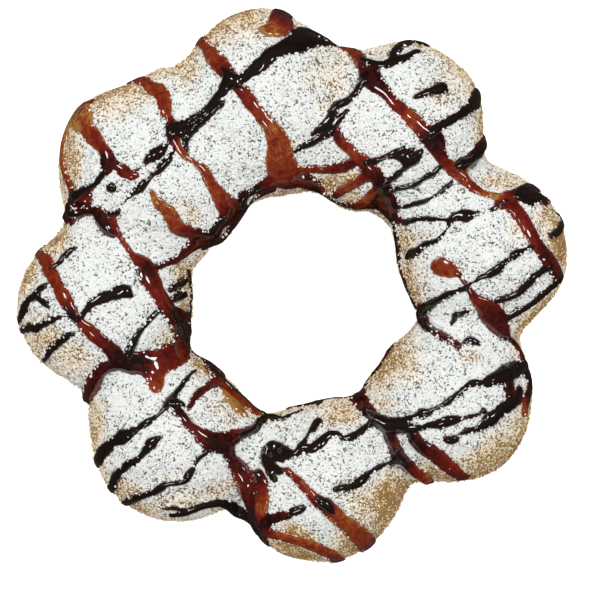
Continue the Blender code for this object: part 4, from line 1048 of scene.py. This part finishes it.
def dough_material():
    nodes = Nodes("dough_crust")
    tan = nodes.value_of("dusting")
    brown = nodes.value_of("browning")
    mottle = nodes.noise(2.6, detail=4.0, roughness=0.62)
    fleck = nodes.noise(0.7, detail=2.0)
    shade = nodes.math("ADD", nodes.math("MULTIPLY", mottle, 0.7),
                       nodes.math("MULTIPLY", brown, 0.45))
    crust = nodes.ramp(shade, ((0.18, CRUST_PALE), (0.48, CRUST_GOLD), (0.85, CRUST_BROWN)))
    dark = nodes.mix(nodes.step(fleck, 0.62, 0.80), crust, CRUST_BROWN)
    white = powder_mask(nodes, nodes.math("SUBTRACT", tan, 0.10))
    colour = nodes.mix(white, dark, srgb(252, 234, 200))
    relief = nodes.bump(nodes.noise(0.55, detail=3.0, roughness=0.6), 0.16, 0.7)
    powdered = nodes.bump(white, 0.12, 0.8, under=relief)
    return nodes.surface(colour, powdered, {"Roughness": 0.55, "Specular IOR Level": 0.35})


SYRUP = {"Roughness": 0.10, "IOR": 1.5, "Specular IOR Level": 0.12, "Coat Weight": 1.0,
         "Coat Roughness": 0.05, "Coat IOR": 1.5}


def syrup(nodes, colour):
    """A wet, glossy material with a faint unevenness."""
    uneven = nodes.bump(nodes.noise(1.6, detail=1.0), 0.06, 0.4)
    return nodes.surface(colour, uneven, SYRUP)


def fruit_material():
    nodes = Nodes("fruit_sauce")
    tone = nodes.value_of("tone")
    depth = nodes.value_of("depth")
    mottle = nodes.noise(1.2, detail=4.0, roughness=0.6, distortion=0.8)
    shade = nodes.math("ADD", tone, nodes.math("MULTIPLY", nodes.math("SUBTRACT", mottle, 0.5), 1.05))
    swirl = nodes.step(nodes.noise(3.2, detail=1.0), 0.38, 0.66)
    streak = nodes.math("MULTIPLY", nodes.math("MULTIPLY", nodes.value_of("streak"), swirl), -0.05)
    shade = nodes.math("ADD", shade, streak)
    thin = nodes.math("MULTIPLY", nodes.math("SUBTRACT", 0.42, depth), 0.55)
    shade = nodes.math("SUBTRACT", shade, nodes.math("MAXIMUM", thin, 0.0))
    colour = nodes.ramp(shade, (
        (0.00, srgb(164, 120, 58)), (0.08, srgb(152, 86, 42)), (0.22, srgb(138, 58, 26)),
        (0.45, srgb(112, 29, 14)), (0.68, srgb(84, 17, 10)), (0.88, srgb(44, 10, 7)),
        (1.00, srgb(22, 7, 5))))
    return syrup(nodes, colour)


def chocolate_material():
    nodes = Nodes("chocolate_sauce")
    depth = nodes.value_of("depth")
    mottle = nodes.noise(1.3, detail=2.0)
    shade = nodes.math("ADD", depth, nodes.math("MULTIPLY", nodes.math("SUBTRACT", mottle, 0.5), 0.25))
    colour = nodes.ramp(shade, (
        (0.02, srgb(60, 28, 12)), (0.13, srgb(34, 17, 9)), (0.34, srgb(25, 13, 8)),
        (1.00, srgb(19, 11, 7))))
    return syrup(nodes, colour)


# ---------------------------------------------------------------- sauce
fruit_strands = drape_strands(FRUIT)
chocolate_strands = drape_strands(CHOCOLATE)
film_strands = drape_strands(CHOCOLATE_FILM)


def chocolate_sheet(grid):
    """Level and height of the chocolate's strands together with the thin chocolate between them."""
    level, height, _, _ = sauce_level(grid, chocolate_strands, CHOCOLATE_SEED, CHOCOLATE_RISE)
    film_level, film_height, _, _ = sauce_level(grid, film_strands, FILM_SEED, FILM_RISE)
    return np.maximum(level, film_level), np.maximum(height, film_height)


def sauce_piece(name, grid, top, level, material, values):
    """One sauce as a closed sheet with this top, cut off just outside its edge."""
    top = np.maximum(top, SAUCE_BOTTOM + THINNEST_SHEET)
    bottom = np.full(top.shape, SAUCE_BOTTOM)
    return sheet(name, grid, top, bottom, level > SHOWN_LEVEL, material, values)


def make_sauces(grid):
    """The two sauces. Both fill creases, and the chocolate lies over the red-brown sauce."""
    fruit_level, fruit_height, tone, streak = sauce_level(
        grid, fruit_strands, FRUIT_SEED, FRUIT_RISE)
    chocolate_level, chocolate_height = chocolate_sheet(grid)
    fruit_rise = sauce_rise(grid, fruit_level, fruit_height, FRUIT_EVENING, FRUIT_WAVE_SEED)
    chocolate_rise = sauce_rise(
        grid, chocolate_level, chocolate_height, CHOCOLATE_EVENING, CHOCOLATE_WAVE_SEED)
    crease_depth = level_creases(grid)
    either_level = np.maximum(chocolate_level, fruit_level)
    fruit_fill = crease_depth * smoothstep(0.0, FILL_EDGE, fruit_level)
    chocolate_fill = crease_depth * smoothstep(0.0, FILL_EDGE, either_level)
    fruit_depth = np.maximum(fruit_rise, 0.0)
    lifted = (LIFTED_SHARE * soften(fruit_depth, LIFTED_EVENING)
              * smoothstep(-LIFTED_EDGE, LIFTED_EDGE, chocolate_level))
    fruit_top = SAUCE_LIFT + fruit_rise + fruit_fill
    chocolate_top = SAUCE_LIFT + chocolate_rise + lifted + chocolate_fill
    red_brown = sauce_piece("fruit_sauce", grid, fruit_top, fruit_level, fruit_material(),
                            {"tone": tone, "depth": fruit_depth, "streak": streak})
    dark = sauce_piece("chocolate_sauce", grid, chocolate_top, chocolate_level,
                       chocolate_material(), {"depth": np.maximum(chocolate_rise, 0.0)})
    return red_brown, dark


fruit, chocolate = make_sauces(Grid(SAUCE_AROUND, SAUCE_ACROSS, SHEET_START, SHEET_END))


# ---------------------------------------------------------------- sugar
def sugar_cover(points, normals):
    """How thickly the sugar lies, from 1 on the tops down to below 0 where there is none."""
    x = points[..., 0] + BOX_MIDDLE[0]
    y = points[..., 1] + BOX_MIDDLE[1]
    up = normals[..., 2]
    cover = 0.34 + 0.63 * smoothstep(0.0, 0.86, up)
    cover = cover - 0.05 * smoothstep(25.5, 20.5, plan_radius(points))
    cover = cover - 1.5 * smoothstep(0.05, -0.40, up)
    for middle_x, middle_y, reach_x, reach_y, turn, missing in THIN_SUGAR:
        turn = math.radians(turn)
        across = (x - middle_x) * math.cos(turn) + (y - middle_y) * math.sin(turn)
        along = (y - middle_y) * math.cos(turn) - (x - middle_x) * math.sin(turn)
        reach = np.hypot(across / reach_x, along / reach_y)
        cover = cover - missing * smoothstep(1.45, 0.25, reach)
    return layered_noise(points, COVER_PATCHES, COVER_SEED, cover)


class Coat:
    """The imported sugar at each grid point, and the sauce that keeps it away."""

    def __init__(self, grid):
        fruit_level, fruit_height, _, _ = sauce_level(grid, fruit_strands, FRUIT_SEED, FRUIT_RISE)
        chocolate_level, chocolate_height = chocolate_sheet(grid)
        self.grid = grid
        self.sauce = np.maximum(fruit_level, chocolate_level)
        self.sauce_height = np.maximum(fruit_height, chocolate_height)
        self.cover = sugar_cover(grid.points, grid.normals)
        self.ragged = layered_noise(grid.points, RAGGED_EDGE, RAGGED_SEED)
        lumps = layered_noise(grid.points, COAT_LUMPS, LUMP_SEED)
        cut = SAUCE_CUT * smoothstep(CUT_START, CUT_END, self.sauce + self.ragged)
        self.top = COAT_LEVEL + COAT_PER_COVER * self.cover + lumps - cut
        self.look = np.clip(self.cover, 0.0, MOST_COVER)

    def piece(self):
        top = np.maximum(self.top, COAT_LOWEST_TOP)
        bottom = np.full(top.shape, COAT_BOTTOM)
        return sheet("sugar_coat", self.grid, top, bottom, self.top > COAT_SHOWN,
                     sugar_material(), {"cover": self.look})

    def area(self):
        """The surface that belongs to each grid point."""
        points = self.grid.points
        across_step = np.linalg.norm(np.roll(points, -1, axis=0) - points, axis=-1)
        up_step = np.linalg.norm(np.gradient(points, axis=1), axis=-1)
        return across_step * up_step

    def ground(self):
        """The surface that grains lie on: the coat, the sauce or the bare crust."""
        sauce_top = np.where(self.sauce > 0, SAUCE_LIFT + self.sauce_height, -1)
        height = np.maximum(np.maximum(self.top, sauce_top), 0.0)
        return self.grid.points + self.grid.normals * height[..., None]


sugar = Coat(Grid(COAT_AROUND, COAT_ACROSS, SHEET_START, SHEET_END))
coat = sugar.piece()


# ---------------------------------------------------------------- dough
def ring_faces(around, across):
    """Faces and UVs of a mesh that is closed both ways."""
    i, j = np.meshgrid(np.arange(around), np.arange(across), indexing="ij")
    i, j = i.ravel(), j.ravel()
    i_next, j_next = (i + 1) % around, (j + 1) % across
    corners = ((i, j), (i_next, j), (i_next, j_next), (i, j_next))
    faces = np.stack([row * across + column for row, column in corners], 1)
    u = np.stack([i, i + 1, i + 1, i], 1) / around
    v = np.stack([j, j, j + 1, j + 1], 1) / across
    return faces, np.stack([u, v], -1)


def make_dough():
    """The crust, with a fine relief and its browning."""
    grid = Grid(DOUGH_AROUND, DOUGH_ACROSS, -math.pi, math.pi)
    off_floor = smoothstep(0.0, FLAT_BASE, grid.points[..., 2])
    relief = layered_noise(grid.points, CRUST_RELIEF, RELIEF_SEED) * off_floor
    relief = relief - CRUST_SUNK * off_floor
    points = grid.points + grid.normals * relief[..., None]
    points[..., 2] = np.maximum(points[..., 2], 0.0)
    points = points[:, :-1]
    band = np.exp(-((points[..., 2] - BAND_HEIGHT) / BAND_SPREAD) ** 2)
    browning = 1.0 - BAND_PALER * band + 0.2 * noise(points, BROWN_PATCH, BROWNING_SEED)
    dusting = np.clip(sugar_cover(points, grid.normals[:, :-1]), -0.6, 1.0)
    faces, loop_uv = ring_faces(DOUGH_AROUND, DOUGH_ACROSS - 1)
    return new_mesh("dough", points.reshape(-1, 3), faces, dough_material(), loop_uv,
                    {"dusting": dusting.ravel(), "browning": browning.ravel()})


dough = make_dough()


# ---------------------------------------------------------------- loose grains
def scatter(name, count, seed, density, shape, size, sink, material):
    """Small solid grains of one kind, strewn over the coat with this density at each grid point."""
    random = np.random.default_rng(seed)
    corners, triangles = shape
    chance = (density * sugar.area()).ravel()
    chance = chance / chance.sum()
    chosen = random.choice(chance.size, size=count, p=chance)
    i, j = np.unravel_index(chosen, density.shape)
    i_next, j_next = (i + 1) % sugar.grid.around, np.minimum(j + 1, sugar.grid.across - 1)
    a = random.random(count)[:, None]
    b = random.random(count)[:, None]
    surface = sugar.ground()
    place = ((surface[i, j] * (1 - a) + surface[i_next, j] * a) * (1 - b)
             + (surface[i, j_next] * (1 - a) + surface[i_next, j_next] * a) * b)
    normal = sugar.grid.normals[i, j]
    radius = size[0] + (size[1] - size[0]) * random.random(count) ** MOSTLY_SMALL
    spin = random.normal(size=(count, 4))
    spin /= np.linalg.norm(spin, axis=1, keepdims=True)
    w, x, y, z = spin.T
    turn = np.stack([
        np.stack([1 - 2 * (y * y + z * z), 2 * (x * y - w * z), 2 * (x * z + w * y)], -1),
        np.stack([2 * (x * y + w * z), 1 - 2 * (x * x + z * z), 2 * (y * z - w * x)], -1),
        np.stack([2 * (x * z - w * y), 2 * (y * z + w * x), 1 - 2 * (x * x + y * y)], -1)], 1)
    stretch = 0.75 + 0.5 * random.random((count, 1, 3))
    uneven = 0.8 + 0.4 * random.random((count, len(corners), 1))
    local = corners[None] * stretch * uneven * radius[:, None, None]
    points = np.einsum("nij,nkj->nki", turn, local)
    points += (place + normal * (radius * sink)[:, None])[:, None]
    faces = triangles[None] + (np.arange(count) * len(corners))[:, None, None]
    side = math.ceil(math.sqrt(count))
    cell = np.stack([np.arange(count) % side, np.arange(count) // side], -1) / side
    spread = 0.8 / side * (0.5 + 0.5 * corners[triangles][..., :2])
    loop_uv = cell[:, None, None] + 0.1 / side + spread[None]
    return new_mesh(name, points.reshape(-1, 3), faces.reshape(-1, 3), material,
                    loop_uv.reshape(-1, 2),
                    {"cover": np.repeat(sugar.look[i, j], len(corners))})


OCTAHEDRON = (
    np.array([[1, 0, 0], [-1, 0, 0], [0, 1, 0], [0, -1, 0], [0, 0, 1], [0, 0, -1]], float),
    np.array([[0, 2, 4], [2, 1, 4], [1, 3, 4], [3, 0, 4], [2, 0, 5], [1, 2, 5], [3, 1, 5],
              [0, 3, 5]]))
GOLDEN = (1 + math.sqrt(5)) / 2
ICOSAHEDRON = (
    np.array([[-1, GOLDEN, 0], [1, GOLDEN, 0], [-1, -GOLDEN, 0], [1, -GOLDEN, 0],
              [0, -1, GOLDEN], [0, 1, GOLDEN], [0, -1, -GOLDEN], [0, 1, -GOLDEN],
              [GOLDEN, 0, -1], [GOLDEN, 0, 1], [-GOLDEN, 0, -1], [-GOLDEN, 0, 1]])
    / math.hypot(1, GOLDEN),
    np.array([[0, 11, 5], [0, 5, 1], [0, 1, 7], [0, 7, 10], [0, 10, 11], [1, 5, 9], [5, 11, 4],
              [11, 10, 2], [10, 7, 6], [7, 1, 8], [3, 9, 4], [3, 4, 2], [3, 2, 6], [3, 6, 8],
              [3, 8, 9], [4, 9, 5], [2, 4, 11], [6, 2, 10], [8, 6, 7], [9, 8, 1]]))

def crumbs(grid):
    """Where crumbs of sugar lie on the sauce."""
    total = np.zeros(grid.theta.shape)
    for x, y, reach in SUGAR_ON_SAUCE:
        x, y = plan(x, y)
        away = np.hypot(grid.points[..., 0] - x, grid.points[..., 1] - y) / reach
        total += smoothstep(1.1, 0.3, away) * (grid.normals[..., 2] > 0.1)
    return total


dry = smoothstep(0.10, -0.20, sugar.sauce + 1.5 * sugar.ragged)
sprinkled = crumbs(sugar.grid)
grain_chance = dry * smoothstep(-0.25, 0.5, sugar.cover)
clump_chance = dry * smoothstep(0.15, 0.7, sugar.cover)
grain_look = grain_material()
fine = scatter("sugar_grains", GRAINS, GRAIN_SEED,
               grain_chance + 0.0006 + 0.7 * sprinkled * (1 - dry), OCTAHEDRON, GRAIN_SIZE, 0.25,
               grain_look)
coarse = scatter("sugar_clumps", CLUMPS, CLUMP_SEED, clump_chance + 0.08 * sprinkled * (1 - dry),
                 ICOSAHEDRON, CLUMP_SIZE, 0.0, grain_look)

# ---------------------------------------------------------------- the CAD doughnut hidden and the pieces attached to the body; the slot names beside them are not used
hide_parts("doughnut")
for piece, slot in ((dough, "dough"), (coat, "sugar"), (fine, "sugar"), (coarse, "sugar"),
                    (fruit, "fruit_sauce"), (chocolate, "chocolate_sauce")):
    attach(piece, BODY)


# ---------------------------------------------------------------- floor, light and camera
def floor_material():
    nodes = Nodes("floor")
    rays = nodes.add("ShaderNodeLightPath")
    pale = nodes.mix(rays.outputs["Is Glossy Ray"], (0.88, 0.88, 0.88, 1.0), (0.04, 0.04, 0.04, 1.0))
    nodes.link(pale, nodes.shader.inputs["Base Color"])
    nodes.shader.inputs["Roughness"].default_value = 0.9
    nodes.shader.inputs["Emission Color"].default_value = (1.0, 1.0, 1.0, 1.0)
    seen = nodes.math("MULTIPLY", rays.outputs["Is Camera Ray"], 0.84)
    nodes.link(seen, nodes.shader.inputs["Emission Strength"])
    return nodes.material


bpy.ops.mesh.primitive_plane_add(size=4.0, location=(0.0, 0.0, -0.00005))
floor = bpy.context.active_object
floor.name = "floor"
floor.data.materials.append(floor_material())


def add_light(name, place, size, power):
    """A round soft light (metres, watts) that faces the doughnut."""
    light = bpy.data.lights.new(name, "AREA")
    light.shape = "DISK"
    light.size = size
    light.energy = power
    holder = bpy.data.objects.new(name, light)
    bpy.context.scene.collection.objects.link(holder)
    holder.location = place
    holder.rotation_euler = (-Vector(place)).to_track_quat("-Z", "Y").to_euler()


for name, place, size, power in (("key", (-0.38, 0.36, 0.68), 0.20, 1.8),
                                 ("fill", (0.46, 0.20, 0.66), 0.15, 1.2),
                                 ("top", (0.10, 0.26, 0.90), 0.14, 1.3),
                                 ("front", (-0.22, -0.42, 0.72), 0.12, 0.7)):
    add_light(name, place, size, power)


def add_world():
    """Soft light from all round. What shines mirrors a darker room, and the camera sees white."""
    world = bpy.data.worlds.new("studio")
    world.use_nodes = True
    sky = world.node_tree
    direction = sky.nodes.new("ShaderNodeTexCoord")
    upward = sky.nodes.new("ShaderNodeSeparateXYZ")
    sky.links.new(direction.outputs["Generated"], upward.inputs[0])
    rays = sky.nodes.new("ShaderNodeLightPath")
    strength = None
    for low, high, ray in ((0.43, 0.52, None), (0.03, 0.15, "Is Glossy Ray"),
                           (0.95, 0.95, "Is Camera Ray")):
        brightness = sky.nodes.new("ShaderNodeMapRange")
        brightness.inputs["To Min"].default_value = low
        brightness.inputs["To Max"].default_value = high
        sky.links.new(upward.outputs["Z"], brightness.inputs["Value"])
        if ray is None:
            strength = brightness.outputs["Result"]
            continue
        choose = sky.nodes.new("ShaderNodeMix")
        sky.links.new(rays.outputs[ray], choose.inputs["Factor"])
        sky.links.new(strength, choose.inputs["A"])
        sky.links.new(brightness.outputs["Result"], choose.inputs["B"])
        strength = choose.outputs["Result"]
    sky.links.new(strength, sky.nodes["Background"].inputs["Strength"])
    sky.nodes["Background"].inputs["Color"].default_value = (1.0, 1.0, 1.0, 1.0)
    return world


bpy.context.scene.world = add_world()
bpy.context.scene.view_settings.view_transform = "Standard"

LENS = 1000.0
SENSOR = 36.0
VIEW_WIDTH = 0.102
AIM = (0.00128, -0.00234, 0.0124)

camera = bpy.data.cameras.new("camera")
camera.lens = LENS
camera.sensor_width = SENSOR
holder = bpy.data.objects.new("camera", camera)
bpy.context.scene.collection.objects.link(holder)
holder.location = (AIM[0], AIM[1], AIM[2] + VIEW_WIDTH * LENS / SENSOR)
camera.clip_start = 0.1
camera.clip_end = 10.0
bpy.context.scene.camera = holder
